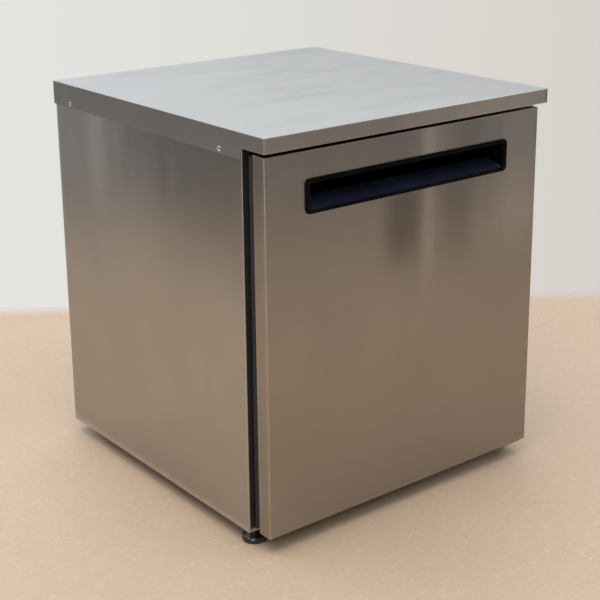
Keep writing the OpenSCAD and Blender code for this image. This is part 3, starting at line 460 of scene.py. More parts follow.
# Faces that look into a narrow gap between sheets get painted shade: the same steel, far darker
painted_shade_steel = brushed_steel("shaded_sheet", tint=PAINTED_SHADE_TINT, painted_edge_highlight=0.0)
steel_flat = brushed_steel(
    "brushed_stainless_flat", flat=True, tint=TOP_PAINTED_LIGHT_TINT, painted_edge_highlight=0.1, painted_reflections=TOP_PAINTED_REFLECTIONS
)
zinc_sheet = galvanised("galvanised_sheet")
dark_frame = painted("painted_front_frame", (0.05, 0.05, 0.05))
black_plastic = moulded("black_moulded_plastic", (0.018, 0.018, 0.02), 0.42)
handle_skin = {"depth": 0.006, "grain": 0.9}
handle_black = moulded(
    "gloss_black_handle", (0.003, 0.0028, 0.0035), 0.16, ior=1.1, worn=0.02, **handle_skin
)
# Two painted copies of the handle's black plastic inside its pocket: a bluish floor that is a painted
# reflection, and walls and roof darker still as painted shade
pocket_floor_painted_reflection = moulded(
    "pocket_floor_painted_reflection", (0.0095, 0.0125, 0.027), 0.3, spread=0.1, ior=1.3, worn=0.0, **handle_skin
)
pocket_painted_shade = moulded(
    "pocket_painted_shade", (0.0014, 0.0017, 0.003), 0.5, ior=1.06, worn=0.0, **handle_skin
)
foot_black = moulded("gloss_black_foot", (0.010, 0.010, 0.011), 0.22, coat=0.3)
white_plastic = moulded("white_moulded_plastic", (0.72, 0.72, 0.70), 0.35, spread=0.04)
nylon = moulded("nylon", (0.66, 0.65, 0.60), 0.4, spread=0.06)
grey_tube = moulded("grey_tube", (0.30, 0.31, 0.32), 0.4, spread=0.1)
seal_black = rubber("seal_rubber", (0.013, 0.014, 0.017))
mount_rubber = rubber("mount_rubber", (0.02, 0.02, 0.02))
magnet = rubber("magnet_strip", (0.05, 0.045, 0.04))
insulation = foam("polyurethane_foam")
core_board = board("composite_board")
liner_sheet = embossed_aluminium("embossed_liner")
shelf_wire = bare_metal("bright_zinc_wire", (0.80, 0.81, 0.82), 0.18, (0.5, 0.5, 0.5))
fastener = bare_metal("bright_fastener", (0.86, 0.86, 0.86), 0.16, (0.6, 0.6, 0.6))
copper = bare_metal("copper_pipe", (0.80, 0.42, 0.27), 0.25, (0.32, 0.16, 0.09), 0.6)
fin_metal = bare_metal("aluminium_fins", (0.72, 0.73, 0.74), 0.35, (0.5, 0.5, 0.5), 0.4)
dark_fins = painted("painted_fins", (0.03, 0.03, 0.03), 0.4)
black_steel = painted("black_painted_steel", (0.022, 0.022, 0.024), 0.28)
motor_steel = painted("motor_enamel", (0.10, 0.10, 0.10), 0.35, 0.4)
housing_white = painted("white_enamel", (0.74, 0.75, 0.75), 0.3)

NODE_MATERIALS = {
    core_board: ["worktop_core"],
    fastener: ["worktop_screws", "pilaster_screws", "hinge_screws", "compressor_bolts", "rear_cover_screws"],
    zinc_sheet: [
        "rear_panel", "cabinet_top_panel", "machine_compartment_wall", "condensing_unit_base",
        "electrical_box", "leg_sockets", "condenser_fan_shroud", "rear_cover",
    ],
    steel: ["base_pan"],
    dark_frame: ["front_frame"],
    black_plastic: ["breaker_frame", "power_inlet", "condensate_pan", "compressor_relay_box"],
    insulation: ["foam_insulation"],
    liner_sheet: ["inner_liner"],
    shelf_wire: ["shelf_pilasters", "shelf_clips", "evaporator_fan_guard"],
    housing_white: ["evaporator_housing"],
    motor_steel: ["evaporator_fan_motor", "condenser_fan_motor"],
    white_plastic: ["thermostat_body"],
    nylon: ["hinge_bush_top", "hinge_bush_bottom"],
    grey_tube: ["drain_tube"],
    # The hinge brackets are black to match the dark, shaded gap under the worktop; their own finish is not
    # known, so this black is partly painted shade
    black_steel: ["hinge_bracket_top", "hinge_bracket_bottom", "compressor"],
    mount_rubber: ["compressor_mounts"],
    magnet: ["gasket_magnets"],
    copper: ["filter_drier", "suction_line", "discharge_line", "liquid_line"],
}
for material, names in NODE_MATERIALS.items():
    for node in names:
        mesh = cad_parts[node].data
        mesh.materials.clear()
        mesh.materials.append(material)


# ---- worktop ----

TOP_SHEET = 1.2 * MM
NOSING = 28 * MM
FOLD = 12 * MM
SIDE_FOLD = 6 * MM
STEP_BACK = 70 * MM
FOLD_R = 1.3 * MM
CELL = 14 * MM
# Width of the narrow cells beside an edge, which keep the shading of the next ones flat
NARROW = 0.3 * MM
# A face belongs to a direction when its normal reaches this far along it
TOWARDS = 0.7

top_low, top_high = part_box("worktop")
nosing_z = top_high.z - NOSING
step_y = top_low.y + STEP_BACK


def top_z(x, y):
    edge = min(x - top_low.x, top_high.x - x, y - top_low.y, top_high.y - y)
    return top_high.z - calm(edge, 60 * MM) * wave(x, y, 0.25, 0.25 * MM, 1)


def make_worktop():
    """A folded sheet: top, front edge with its fold, stepped side flanges and back flange."""
    bm = bmesh.new()
    xs = steps(top_low.x, top_high.x, CELL)
    ys = steps(top_low.y, top_high.y, CELL, top_low.y + FOLD, step_y, step_y + NARROW)
    zs = steps(top_low.z, top_high.z, CELL / 2, top_low.z + NARROW, nosing_z)
    upper = [z for z in zs if z >= nosing_z]
    beside = [y for y in ys if top_low.y + FOLD <= y <= step_y]
    grid(bm, xs, ys, lambda x, y: (x, y, top_z(x, y)))
    grid(bm, xs, upper, lambda x, z: (x, top_low.y, z))
    grid(bm, xs, [top_low.y, top_low.y + FOLD], lambda x, y: (x, y, nosing_z))
    grid(bm, xs, zs, lambda x, z: (x, top_high.y, z))
    for side, inner in ((top_low.x, top_low.x + SIDE_FOLD), (top_high.x, top_high.x - SIDE_FOLD)):
        grid(bm, [side, inner], beside, lambda x, y: (x, y, nosing_z))
        grid(bm, ys, zs, lambda y, z: (side, y, z), lambda y, z: z > nosing_z or y > step_y)
    weld(bm, (0, 0, 0.5))
    skins = [steel, steel_flat, nosing_steel, painted_shade_steel]
    # Upward faces get the lighter top steel and the front gets the nosing steel, both painted light;
    # downward faces in the gap under the nosing get painted shade
    for face in bm.faces:
        if face.normal.z > TOWARDS:
            face.material_index = skins.index(steel_flat)
        elif face.normal.z < -TOWARDS:
            face.material_index = skins.index(painted_shade_steel)
        elif face.normal.y < -TOWARDS:
            face.material_index = skins.index(nosing_steel)
    obj = piece("worktop_sheet", bm, skins, "cabinet", "worktop", slot="stainless_steel")
    bevel(obj, FOLD_R, material=skins.index(nosing_steel))
    thicken(obj, TOP_SHEET)


make_worktop()


# ---- side panels ----

SHEET = 0.8 * MM
HEM_R = 1.5 * MM
HEM_W = 3 * MM
HEM_D = 10 * MM
REAR_RETURN = 15 * MM
REAR_R = 2 * MM


def panel_section(outer_x, front, back):
    """Outline of a right-hand panel seen from above: hem, round front edge, skin and rear return."""
    inner_x = outer_x - HEM_W
    points = [(inner_x, front + HEM_D), (inner_x, front + HEM_R)]
    for i in range(9):
        a = math.pi * (1 + i / 8)
        points.append((outer_x - HEM_R + HEM_R * math.cos(a), front + HEM_R + HEM_R * math.sin(a)))
    points += [(outer_x, y) for y in steps(front + 4 * MM, back - REAR_R, CELL)]
    for a in arc(4):
        points.append((outer_x - REAR_R + REAR_R * math.cos(a), back - REAR_R + REAR_R * math.sin(a)))
    points.append((outer_x - REAR_RETURN, back))
    return points


def make_side_panel(node, side):
    """A panel, which is a little hollow between its folds. side is -1 at the left and 1 at the right."""
    low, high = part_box(node)
    outer_x = max(abs(low.x), abs(high.x))
    points = panel_section(outer_x, low.y, high.y)
    loops = []
    for z in steps(low.z, high.z, CELL, low.z + NARROW, high.z - NARROW):
        loop = []
        for x, y in points:
            edge = min(y - low.y, high.y - y, z - low.z, high.z - z) if x == outer_x else 0
            hollow = calm(edge, 50 * MM) * wave(y, z * 0.5, 0.22, 0.35 * MM, 7 * side)
            loop.append((side * (x - hollow), y, z))
        loops.append(loop)
    bm = bmesh.new()
    loft(bm, loops, closed=False)
    weld(bm, (0, 0, (low.z + high.z) / 2))
    name = node.replace("panel", "sheet")
    thicken(piece(name, bm, side_steel, "cabinet", node, slot="stainless_steel"), SHEET)


make_side_panel("side_panel_left", -1)
make_side_panel("side_panel_right", 1)


# ---- door ----

DOOR_FOLD_R = 1.6 * MM
RETURN_W = 13 * MM
HINGE_HOLE = 6.6 * MM
RIM_SIDE = 9.75 * MM
RIM_TOP = 8.5 * MM
RIM_BOTTOM = 5.5 * MM
RIM_PROUD = 3 * MM
RIM_CORNER = 10 * MM
RIM_R = 1.4 * MM
# How far the pocket's ends lean in, and its floor rises, from the door's face to the back
END_DRAFT = 12 * MM
FLOOR_RISE = 21 * MM

skin_low, skin_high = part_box("door_skin")
rim_low, rim_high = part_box("door_handle")
handle_back = rim_high.y
pocket_x = rim_high.x - RIM_SIDE
hinge = middle_of("hinge_bush_top")

# Small knocks in the door's front: place (x, z), radius and depth
DENTS = [
    ((-0.164, 0.592), 9 * MM, 0.25 * MM),
    ((0.072, 0.584), 11 * MM, 0.45 * MM),
    ((0.005, 0.570), 14 * MM, 0.30 * MM),
    ((-0.323, 0.728), 6 * MM, 0.40 * MM),
    ((0.180, 0.734), 7 * MM, 0.60 * MM),
    ((0.197, 0.736), 4 * MM, 0.45 * MM),
    ((0.216, 0.734), 7 * MM, 0.60 * MM),
    ((0.309, 0.736), 8 * MM, 0.40 * MM),
]


def front_hollow(x, z):
    """How far a point of the door's front lies behind a flat face."""
    edge = min(x - skin_low.x, skin_high.x - x, z - skin_low.z, skin_high.z - z)
    waves = wave(x, z * 0.45, 0.20, 0.5 * MM, 3) + wave(x, z * 0.25, 0.07, 0.06 * MM, 5)
    hollow = calm(edge, 50 * MM) * waves
    for (dx, dz), radius, depth in DENTS:
        hollow += depth * hump(math.hypot(x - dx, z - dz) / radius) * min(1, edge / (2 * MM))
    return hollow


def make_door_skin():
    """A shallow folded tray: front, four sides and a return flange, open behind the handle."""
    hole_x = pocket_x + 4 * MM
    hole_low, hole_high = rim_low.z + 3 * MM, rim_high.z - 4 * MM
    low_x, high_x = skin_low.x + RETURN_W, skin_high.x - RETURN_W
    low_z, high_z = skin_low.z + RETURN_W, skin_high.z - RETURN_W
    hinge_x = hinge.x - HINGE_HOLE, hinge.x + HINGE_HOLE
    hinge_y = hinge.y - HINGE_HOLE, hinge.y + HINGE_HOLE
    beside = -hole_x - NARROW, hole_x + NARROW
    round_hole = hole_low - NARROW, hole_high + NARROW
    xs = steps(skin_low.x, skin_high.x, 5 * MM, -hole_x, hole_x, low_x, high_x, *hinge_x, *beside)
    ys = steps(skin_low.y, skin_high.y, 8 * MM, *hinge_y)
    zs = steps(skin_low.z, skin_high.z, 5 * MM, hole_low, hole_high, low_z, high_z, *round_hole)

    def is_front(x, z):
        return abs(x) > hole_x or not hole_low < z < hole_high

    def is_return(x, z):
        return not (low_x < x < high_x and low_z < z < high_z)

    def is_end(x, y):
        return max(abs(x - hinge.x), abs(y - hinge.y)) > HINGE_HOLE

    bm = bmesh.new()
    grid(bm, xs, zs, lambda x, z: (x, skin_low.y + front_hollow(x, z), z), is_front)
    grid(bm, xs, zs, lambda x, z: (x, skin_high.y, z), is_return)
    for x in (skin_low.x, skin_high.x):
        grid(bm, ys, zs, lambda y, z: (x, y, z))
    for z in (skin_low.z, skin_high.z):
        grid(bm, xs, ys, lambda x, y: (x, y, z), is_end)
    weld(bm, (skin_low + skin_high) / 2)
    skins = [door_steel, painted_shade_steel]
    # The door's top face, in the gap under the nosing, gets painted shade
    for face in bm.faces:
        if face.normal.z > TOWARDS:
            face.material_index = skins.index(painted_shade_steel)
    obj = piece("door_sheet", bm, skins, "door", "door_skin", slot="stainless_steel")
    bevel(obj, DOOR_FOLD_R, material=skins.index(door_steel))
    thicken(obj, SHEET)


make_door_skin()


def oblong(y, low_z, high_z, half_w, radius):
    """A loop across the door: a rectangle with round corners at depth y."""
    middle, half_h = (low_z + high_z) / 2, (high_z - low_z) / 2
    return [(x, y, middle + z) for x, z in rounded_rectangle(half_w, half_h, radius)]


def make_handle():
    """A moulded pocket: round rim on the door, and a tub whose floor slopes up to the back."""
    door_y = skin_low.y
    front_y = door_y - RIM_PROUD
    back_y = handle_back - 2.5 * MM
    floor_z, lip_z = rim_low.z + RIM_BOTTOM, rim_high.z - RIM_TOP
    roof_z = lip_z + 4 * MM

    def rim_loop(shrink, y):
        radius = RIM_CORNER - shrink
        return oblong(y, rim_low.z + shrink, rim_high.z - shrink, rim_high.x - shrink, radius)

    loops = [rim_loop(0, door_y + 0.2 * MM), rim_loop(0, front_y + RIM_R)]
    for a in arc(5)[1:]:
        loops.append(rim_loop(RIM_R * (1 - math.cos(a)), front_y + RIM_R * (1 - math.sin(a))))
    mouth_r = 1.6 * MM
    for a in arc(5):
        grow, y = mouth_r * (1 - math.sin(a)), front_y + mouth_r * (1 - math.cos(a))
        loops.append(oblong(y, floor_z - grow, lip_z + grow, pocket_x + grow, 4.5 * MM))
    start_y, start_z = door_y + 1 * MM, floor_z + 0.3 * MM
    loops.append(oblong(start_y, start_z, lip_z, pocket_x, 4 * MM))
    count = 12
    for t in (i / count for i in range(1, count)):
        y, roof = start_y + t * (back_y - start_y), lip_z + (roof_z - lip_z) * min(1, 6 * t)
        loops.append(oblong(y, start_z + FLOOR_RISE * t, roof, pocket_x - END_DRAFT * t, 4 * MM))
    back_x, back_z = pocket_x - END_DRAFT, floor_z + FLOOR_RISE
    loops.append(oblong(back_y - 0.3 * MM, back_z - 0.63 * MM, roof_z - 0.5 * MM, back_x, 3.5 * MM))
    loops.append(oblong(back_y, back_z + 2 * MM, roof_z - 2.5 * MM, back_x - 2 * MM, 2.5 * MM))
    bm = bmesh.new()
    rings = loft(bm, loops)
    bm.faces.new(rings[-1])
    bmesh.ops.recalc_face_normals(bm, faces=bm.faces)
    if min(bm.faces, key=lambda f: f.calc_center_median().y).normal.y > 0:
        bmesh.ops.reverse_faces(bm, faces=bm.faces)
    skins = [handle_black, pocket_floor_painted_reflection, pocket_painted_shade]
    for face in bm.faces:
        if face.calc_center_median().y > door_y + 0.5 * MM:
            # Painted light in the pocket: the upward floor gets a bluish painted reflection, the other faces
            # painted shade
            inside = pocket_floor_painted_reflection if face.normal.z > 0.6 else pocket_painted_shade
            face.material_index = skins.index(inside)
    obj = piece("handle_moulding", bm, skins, "door", "door_handle", slot="gloss_black_plastic")
    thicken(obj, 1.8 * MM)


make_handle()


def swept_frame(bm, half_x, z_range, section):
    """Sweeps a section round a rectangle with mitred corners. A section point is (inset, y)."""
    loops = []
    for inset, y in section:
        x, low, high = half_x - inset, z_range[0] + inset, z_range[1] - inset
        loops.append([(-x, y, low), (x, y, low), (x, y, high), (-x, y, high)])
    loft(bm, loops + loops[:1])


def make_gasket():
    """Magnetic door seal: foot, bellows and a rounded front band with its lips."""
    low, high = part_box("door_gasket")
    depth, width = high.y - low.y, 18.7 * MM
    # Shares of the width, from the outer edge, and of the depth, from the door
    outline = [
        (0.27, 0.0), (0.25, 0.22), (0.33, 0.34), (0.16, 0.46), (0.12, 0.56), (0.04, 0.62), (0.0, 0.72),
        (0.0, 0.88), (0.05, 0.97), (0.14, 1.0), (0.86, 1.0), (0.95, 0.97), (1.0, 0.88), (1.0, 0.72),
        (0.96, 0.62), (0.80, 0.56), (0.76, 0.46), (0.62, 0.34), (0.85, 0.22), (0.88, 0.0),
    ]
    section = [(across * width, low.y + along * depth) for across, along in outline]
    bm = bmesh.new()
    swept_frame(bm, high.x, (low.z, high.z), section)
    weld(bm, (0, low.y + 6 * MM, (low.z + high.z) / 2))
    bmesh.ops.recalc_face_normals(bm, faces=bm.faces)
    obj = piece("seal_bellows", bm, seal_black, "door", "door_gasket", slot="black_rubber")
    bevel(obj, 0.35 * MM, 2, 25)


make_gasket()


def make_door_liner():
    """Inner face of the door: a flat border, a raised plug with soft corners and a shallow panel."""
    low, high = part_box("door_liner")
    base_y = low.y + 2 * MM
    plug_x, plug_low, plug_high = 280 * MM, 90 * MM, 694 * MM
    foot_r, draft, top_r = 2 * MM, 6 * MM, 5 * MM

    def border(inset, y):
        return oblong(y, low.z + inset, high.z - inset, high.x - inset, 3 * MM)

    def plug(inset, y, radius=14 * MM):
        return oblong(y, plug_low + inset, plug_high - inset, plug_x - inset, radius)

    loops = [border(0, low.y), border(0, base_y - 0.5 * MM), border(0.5 * MM, base_y)]
    loops.append(plug(-1 * MM, base_y))
    for a in arc(5):
        loops.append(plug(foot_r * math.sin(a), base_y + foot_r * (1 - math.cos(a))))
    for a in arc(7):
        inset = foot_r + draft + top_r * (1 - math.cos(a))
        loops.append(plug(inset, high.y - top_r + top_r * math.sin(a)))
    for inset, sink in ((30, 0), (34, 0.6), (37, 2.4), (40, 3.0)):
        loops.append(plug(inset * MM, high.y - sink * MM, 10 * MM))
    bm = bmesh.new()
    rings = loft(bm, loops)
    bm.faces.new(rings[-1])
    bmesh.ops.recalc_face_normals(bm, faces=bm.faces)
    if max(bm.faces, key=lambda f: f.calc_area()).normal.y < 0:
        bmesh.ops.reverse_faces(bm, faces=bm.faces)
    obj = piece("door_liner_form", bm, white_plastic, "door", "door_liner", slot="white_plastic")
    thicken(obj, 1.2 * MM)


make_door_liner()


def make_door_foam():
    """Foam that fills the door round the handle pocket, and the plug behind it."""
    low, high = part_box("door_foam")
    base_y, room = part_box("door_liner")[0].y, 2 * MM
    left, right = low.x + room, hinge.x - 2 * HINGE_HOLE
    front, back = low.y + room, handle_back + 1 * MM
    side, under, over = rim_high.x + room, rim_low.z - room, rim_high.z + room
    bm = bmesh.new()
    add_block(bm, (left, front, low.z + room), (right, base_y, under))
    add_block(bm, (left, front, over), (right, base_y, high.z - room))
    add_block(bm, (left, front, under), (-side, base_y, over))
    add_block(bm, (side, front, under), (right, base_y, over))
    add_block(bm, (-side, back, under), (side, base_y, over))
    plug_x, plug_low, plug_high = 268 * MM, 102 * MM, 682 * MM
    add_block(bm, (-plug_x, base_y, plug_low), (plug_x, high.y - 5 * MM, plug_high))
    piece("door_foam_core", bm, insulation, "door", "door_foam", slot="polyurethane_foam", smooth=False)


make_door_foam()


# ---- shelves ----


def rod_between(bm, a, b, radius, sides=12):
    """A round wire with slightly rounded ends."""
    a, b = Vector(a), Vector(b)
    axis = (b - a).normalized()
    turn = axis.to_track_quat("Z", "Y").to_matrix()
    ends = (0, 0.55), (0.35, 0.9), (1, 1)
    stations = [(a + axis * radius * at, size) for at, size in ends]
    stations += [(b - axis * radius * at, size) for at, size in reversed(ends)]
    loops = []
    for centre, size in stations:
        r = radius * size
        loops.append([centre + turn @ Vector((r * math.cos(t), r * math.sin(t), 0)) for t in circle(sides)])
    rings = loft(bm, loops)
    bm.faces.new(rings[0][::-1])
    bm.faces.new(rings[-1])


def make_shelf(node, body):
    """Wire shelf: a rim with bent corners, thin wires along the depth and two bars under them."""
    low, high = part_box(node)
    rim_r, wire_r, bar_r = 3 * MM, 1.6 * MM, 2.5 * MM
    rim_z = high.z - rim_r
    half_w, half_d = high.x - rim_r, (high.y - low.y) / 2 - rim_r
    middle_y = middle_of(node).y
    path = rounded_rectangle(half_w, half_d, 12 * MM, 6)
    upward = Vector((0, 0, 1))
    loops = []
    for k, (x, y) in enumerate(path):
        before, after = path[k - 1], path[(k + 1) % len(path)]
        along = Vector((after[0] - before[0], after[1] - before[1], 0)).normalized()
        across = Vector((along.y, -along.x, 0))
        centre = Vector((x, middle_y + y, rim_z))
        loops.append([centre + rim_r * (math.cos(a) * across + math.sin(a) * upward) for a in circle(14)])
    bm = bmesh.new()
    loft(bm, loops + loops[:1])
    bmesh.ops.remove_doubles(bm, verts=bm.verts, dist=0.01 * MM)
    wire_z = high.z - wire_r - 0.2 * MM
    pitch, end_room = 25 * MM, 20 * MM
    count = int((half_w - end_room) / pitch)
    for x in (i * pitch for i in range(-count, count + 1)):
        rod_between(bm, (x, middle_y - half_d, wire_z), (x, middle_y + half_d, wire_z), wire_r, 10)
    for share in (0.36, 0.64):
        y = low.y + share * (high.y - low.y)
        rod_between(bm, (-half_w, y, low.z + bar_r), (half_w, y, low.z + bar_r), bar_r)
    bmesh.ops.recalc_face_normals(bm, faces=bm.faces)
    piece(node.replace("wire_", "") + "_wires", bm, shelf_wire, body, node, slot="shelf_steel")


make_shelf("wire_shelf_upper", "shelf_upper")
make_shelf("wire_shelf_lower", "shelf_lower")


# ---- fans ----


def make_rotor(place, blades, hub_r, axis):
    """A moulded fan: a domed hub and swept blades with a twist, turning about a CAD axis."""
    node = place + "_fan_blade"
    low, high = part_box(node)
    size = high - low
    depth = size[[abs(a) for a in axis].index(1)]
    root_r, tip_r = hub_r * 0.95, max(size) / 2 - 0.2 * MM
    bm = bmesh.new()
    hub = []
    for r, z in ((0.45, -0.46), (0.92, -0.5), (1.0, -0.44), (1.0, 0.36), (0.9, 0.46), (0.6, 0.5)):
        hub.append([(hub_r * r * math.cos(a), hub_r * r * math.sin(a), z * depth) for a in circle(32)])
    rings = loft(bm, hub)
    bm.faces.new(rings[-1])
    bm.faces.new(rings[0][::-1])

    def on_blade(start, side, s, t):
        """A point on one side of a blade: s goes from hub to tip, and t from edge to edge."""
        r = root_r + (tip_r - root_r) * s
        width = 0.62 + 0.38 * math.sin(math.pi * min(1, s * 0.75 + 0.15))
        width *= 0.80 * 2 * math.pi / blades * (1 - 0.12 * max(0, s - 0.85) / 0.15)
        around = start + 0.35 * s * s + (t - 0.5) * width
        lift = (0.5 - t) * depth * (0.86 - 0.22 * s) + 0.10 * depth * math.sin(math.pi * t)
        lift += side * 0.9 * MM * math.sin(math.pi * max(0.02, t)) ** 0.5
        lift = max(-0.49 * depth, min(0.49 * depth, lift))
        return r * math.cos(around), r * math.sin(around), lift

    shares = steps(0, 1, 1 / 9)
    for start in circle(blades):
        for side in (1, -1):
            grid(bm, shares, shares, lambda s, t: on_blade(start, side, s, t))
    bmesh.ops.remove_doubles(bm, verts=bm.verts, dist=0.01 * MM)
    bmesh.ops.recalc_face_normals(bm, faces=bm.faces)
    turn, centre = Vector(axis).to_track_quat("Z", "Y").to_matrix(), middle_of(node)
    for v in bm.verts:
        v.co = centre + turn @ v.co
    piece(place + "_fan_rotor", bm, black_plastic, place + "_fan", node, slot="black_plastic")


make_rotor("evaporator", 5, 12 * MM, (0, -1, 0))
make_rotor("condenser", 4, 20 * MM, (1, 0, 0))


# ---- coils ----


def return_bend(bm, start, way, axis, rise, radius):
    """Half a turn of tube that joins a tube's end at start to the one above it."""
    points = []
    for angle in arc(8, math.pi):
        point = start.copy()
        point[axis] += way * (rise / 2 - 0.5 * MM) * math.sin(angle) * 0.8
        point.z += rise / 2 * (1 - math.cos(angle))
        points.append(point)
    for a, b in zip(points, points[1:]):
        rod_between(bm, a - (b - a) * 0.2, b + (b - a) * 0.2, radius, 10)


def make_coil(node, axis, pitch, material, tube_rows, slot, fin_low=None):
    """Thin fins on round tubes, with end plates and return bends, inside the CAD node's box.

    axis is the tubes' direction, and tube_rows are shares of the width across them.
    """
    low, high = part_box(node)
    bend_room = 16 * MM
    first, last = low.copy(), high.copy()
    first[axis] += bend_room
    last[axis] -= bend_room
    first.z = fin_low or low.z
    bm = bmesh.new()

    def plate(at, half, bottom):
        """A plate across the tubes, at a place along them."""
        start, end = first.copy(), last.copy()
        start[axis], end[axis] = at - half, at + half
        start.z = bottom
        add_block(bm, start, end)

    for at in steps(first[axis], last[axis], pitch):
        plate(at, 0.1 * MM, first.z)
    for at in (first[axis], last[axis]):
        plate(at, 1 * MM, low.z)
    piece(node + "_fins", bm, material, "cabinet", node, slot=slot, smooth=False)
    bm = bmesh.new()
    across, tube_r, rise = 1 - axis, 4 * MM, 24 * MM
    rows = int((high.z - first.z - 20 * MM) / rise)
    base_z = (first.z + high.z) / 2 - rise * (rows - 1) / 2
    for share in tube_rows:
        for i in range(rows):
            ends = []
            for end in (first[axis] - 3 * MM, last[axis] + 3 * MM):
                point = Vector((0, 0, base_z + i * rise))
                point[axis] = end
                point[across] = first[across] + share * (last[across] - first[across])
                ends.append(point)
            rod_between(bm, *ends, tube_r)
            if i < rows - 1:
                start, way = (ends[0], -1) if i % 2 else (ends[1], 1)
                return_bend(bm, start, way, axis, rise, tube_r)
    piece(node + "_tubes", bm, copper, "cabinet", slot="copper")


make_coil("evaporator_coil", 0, 4 * MM, fin_metal, (0.28, 0.72), "aluminium_liner")
make_coil("condenser_coil", 1, 3 * MM, dark_fins, (0.26, 0.74), "dark_steel", fin_low=63.5 * MM)


# ---- thermostat knob ----


def make_knob():
    """A round knob with a grip bar and a fluted edge."""
    low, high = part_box("thermostat_knob")
    centre, back = middle_of("thermostat_knob"), high.y
    radius = (high.x - low.x) / 2

    def ring(inset, ahead, flute=0.0):
        points = []
        for a in circle(72):
            r = radius - (inset + flute * (0.5 + 0.5 * math.cos(18 * a))) * MM
            points.append((centre.x + r * math.cos(a), back - ahead * MM, centre.z + r * math.sin(a)))
        return points

    bm = bmesh.new()
    rings = loft(bm, [
        ring(1, 0), ring(0, 0.8), ring(0, 3), ring(0.6, 3.6, 0.7), ring(1, 7.5, 0.7), ring(2.2, 9),
        ring(9, 8.7),
    ])
    bm.faces.new(rings[-1])
    bm.faces.new(rings[0][::-1])
    bar = bmesh.ops.create_cube(bm, size=1)["verts"]
    size = Vector((7 * MM, back - low.y - 6 * MM, 2 * radius - 3 * MM))
    for v in bar:
        taper = 0.8 if v.co.y < 0 else 1.0
        v.co = Vector((v.co.x * size.x * taper, v.co.y * size.y, v.co.z * size.z * taper))
        v.co += Vector((centre.x, low.y + size.y / 2, centre.z))
    bmesh.ops.recalc_face_normals(bm, faces=bm.faces)
    body, node = "thermostat_dial", "thermostat_knob"
    knob = piece("knob_moulding", bm, handle_black, body, node, slot="gloss_black_plastic")
    bevel(knob, 0.7 * MM, 3, 40)


make_knob()


# ---- feet ----


def make_foot(node, body):
    """Levelling foot: pad with a soft edge and a sloping shoulder, hexagon and threaded stem."""
    low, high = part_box(node)
    centre = middle_of(node)
    pad_r = (high.x - low.x) / 2

    def ring(r, z, count=48):
        return [
            (centre.x + r * math.cos(a), centre.y + r * math.sin(a), low.z + z) for a in circle(count)
        ]

    pad = [ring(pad_r - 3 * MM, 0.0), ring(pad_r - 1.2 * MM, 0.3 * MM)]
    for i in range(7):
        a = math.pi * (-0.5 + i / 6) * 0.9
        r = pad_r - 2.5 * MM + 2.5 * MM * math.cos(a)
        pad.append(ring(r, 5 * MM + 4 * MM * math.sin(a) + i * 0.35 * MM))
    for r, z in ((pad_r - 4 * MM, 12 * MM), (14 * MM, 17 * MM), (12 * MM, 20 * MM), (9 * MM, 20.2 * MM)):
        pad.append(ring(r, z))
    bm = bmesh.new()
    rings = loft(bm, pad)
    bm.faces.new(rings[0][::-1])
    bm.faces.new(rings[-1])
    hexagon = (10.2, 19.5), (11, 20.2), (11, 26.7), (10, 27.4)
    rings = loft(bm, [ring(r * MM, z * MM, 6) for r, z in hexagon])
    bm.faces.new(rings[-1])
    root_r, crest_r, thread, top = 4.4 * MM, 5 * MM, 1.25 * MM, high.z - low.z
    stem = []
    z = 27 * MM
    while z < top - thread:
        stem.append(ring(root_r, z, 24))
        stem += [ring(crest_r, z + thread * share, 24) for share in (0.4, 0.6)]
        z += thread
    stem += [ring(root_r, top - 0.6 * MM, 24), ring(3.6 * MM, top, 24)]
    rings = loft(bm, stem)
    bm.faces.new(rings[-1])
    bmesh.ops.recalc_face_normals(bm, faces=bm.faces)
    obj = piece(node.replace("leg", "foot"), bm, foot_black, body, node, slot="foot_plastic")
    bevel(obj, 0.3 * MM, 2, 50)


for place_name in ("front_left", "front_right", "rear_left", "rear_right"):
    make_foot("leg_" + place_name, "foot_" + place_name)


# ---- studio ----


# Direction from the object to the wall behind it, along the floor
BEHIND = Vector((0.57, 0.822, 0.0))
WALL_FADE = 0.84, 0.92
FLOOR_R = 3.4
FLOOR_FADE = 1.7


def make_floor():
    """A pale floor that fades into the backdrop all round."""
    bm = bmesh.new()
    bmesh.ops.create_circle(bm, cap_ends=True, segments=96, radius=FLOOR_R)
    mesh = bpy.data.meshes.new("floor")
    bm.to_mesh(mesh)
    bm.free()
    obj = bpy.data.objects.new("floor", mesh)
    bpy.context.scene.collection.objects.link(obj)
    p = Paint("pale_floor", roughness=0.55)
    shade, cloud = p.cell_shade(0.006), p.noise(0.5)
    tone = p.mix(p.between(cloud, 0.3, 0.7), (0.60, 0.450, 0.315), (0.63, 0.478, 0.342))
    tone = p.mix(p.between(shade, 0.80, 1.0, 0.0, 0.25), tone, (0.45, 0.34, 0.24))
    tone = p.mix(p.between(shade, 0.0, 0.15, 0.20, 0.0), tone, (0.80, 0.70, 0.58))
    away = p.node("ShaderNodeVectorMath", {0: p.here()}, operation="LENGTH").outputs["Value"]
    round_edge = p.between(away, FLOOR_FADE, FLOOR_R * 0.98, 1.0, 0.0)
    wall_edge = p.between(p.dot(p.here(), BEHIND), *WALL_FADE, 1.0, 0.0)
    p.wire(base_color=tone, alpha=p.math("MULTIPLY", round_edge, wall_edge))
    mesh.materials.append(p.material)


make_floor()


def area_light(name, place, target, size, power):
    data = bpy.data.lights.new(name, "AREA")
    data.shape, (data.size, data.size_y) = "RECTANGLE", size
    data.energy = power
    obj = bpy.data.objects.new(name, data)
    obj.location = place
    obj.rotation_euler = (Vector(target) - Vector(place)).to_track_quat("-Z", "Y").to_euler()
    obj.visible_camera = False
    bpy.context.scene.collection.objects.link(obj)


area_light("overhead_softbox", (-0.9, -0.2, 3.2), (0, 0, 0.4), (3.0, 3.0), 55)


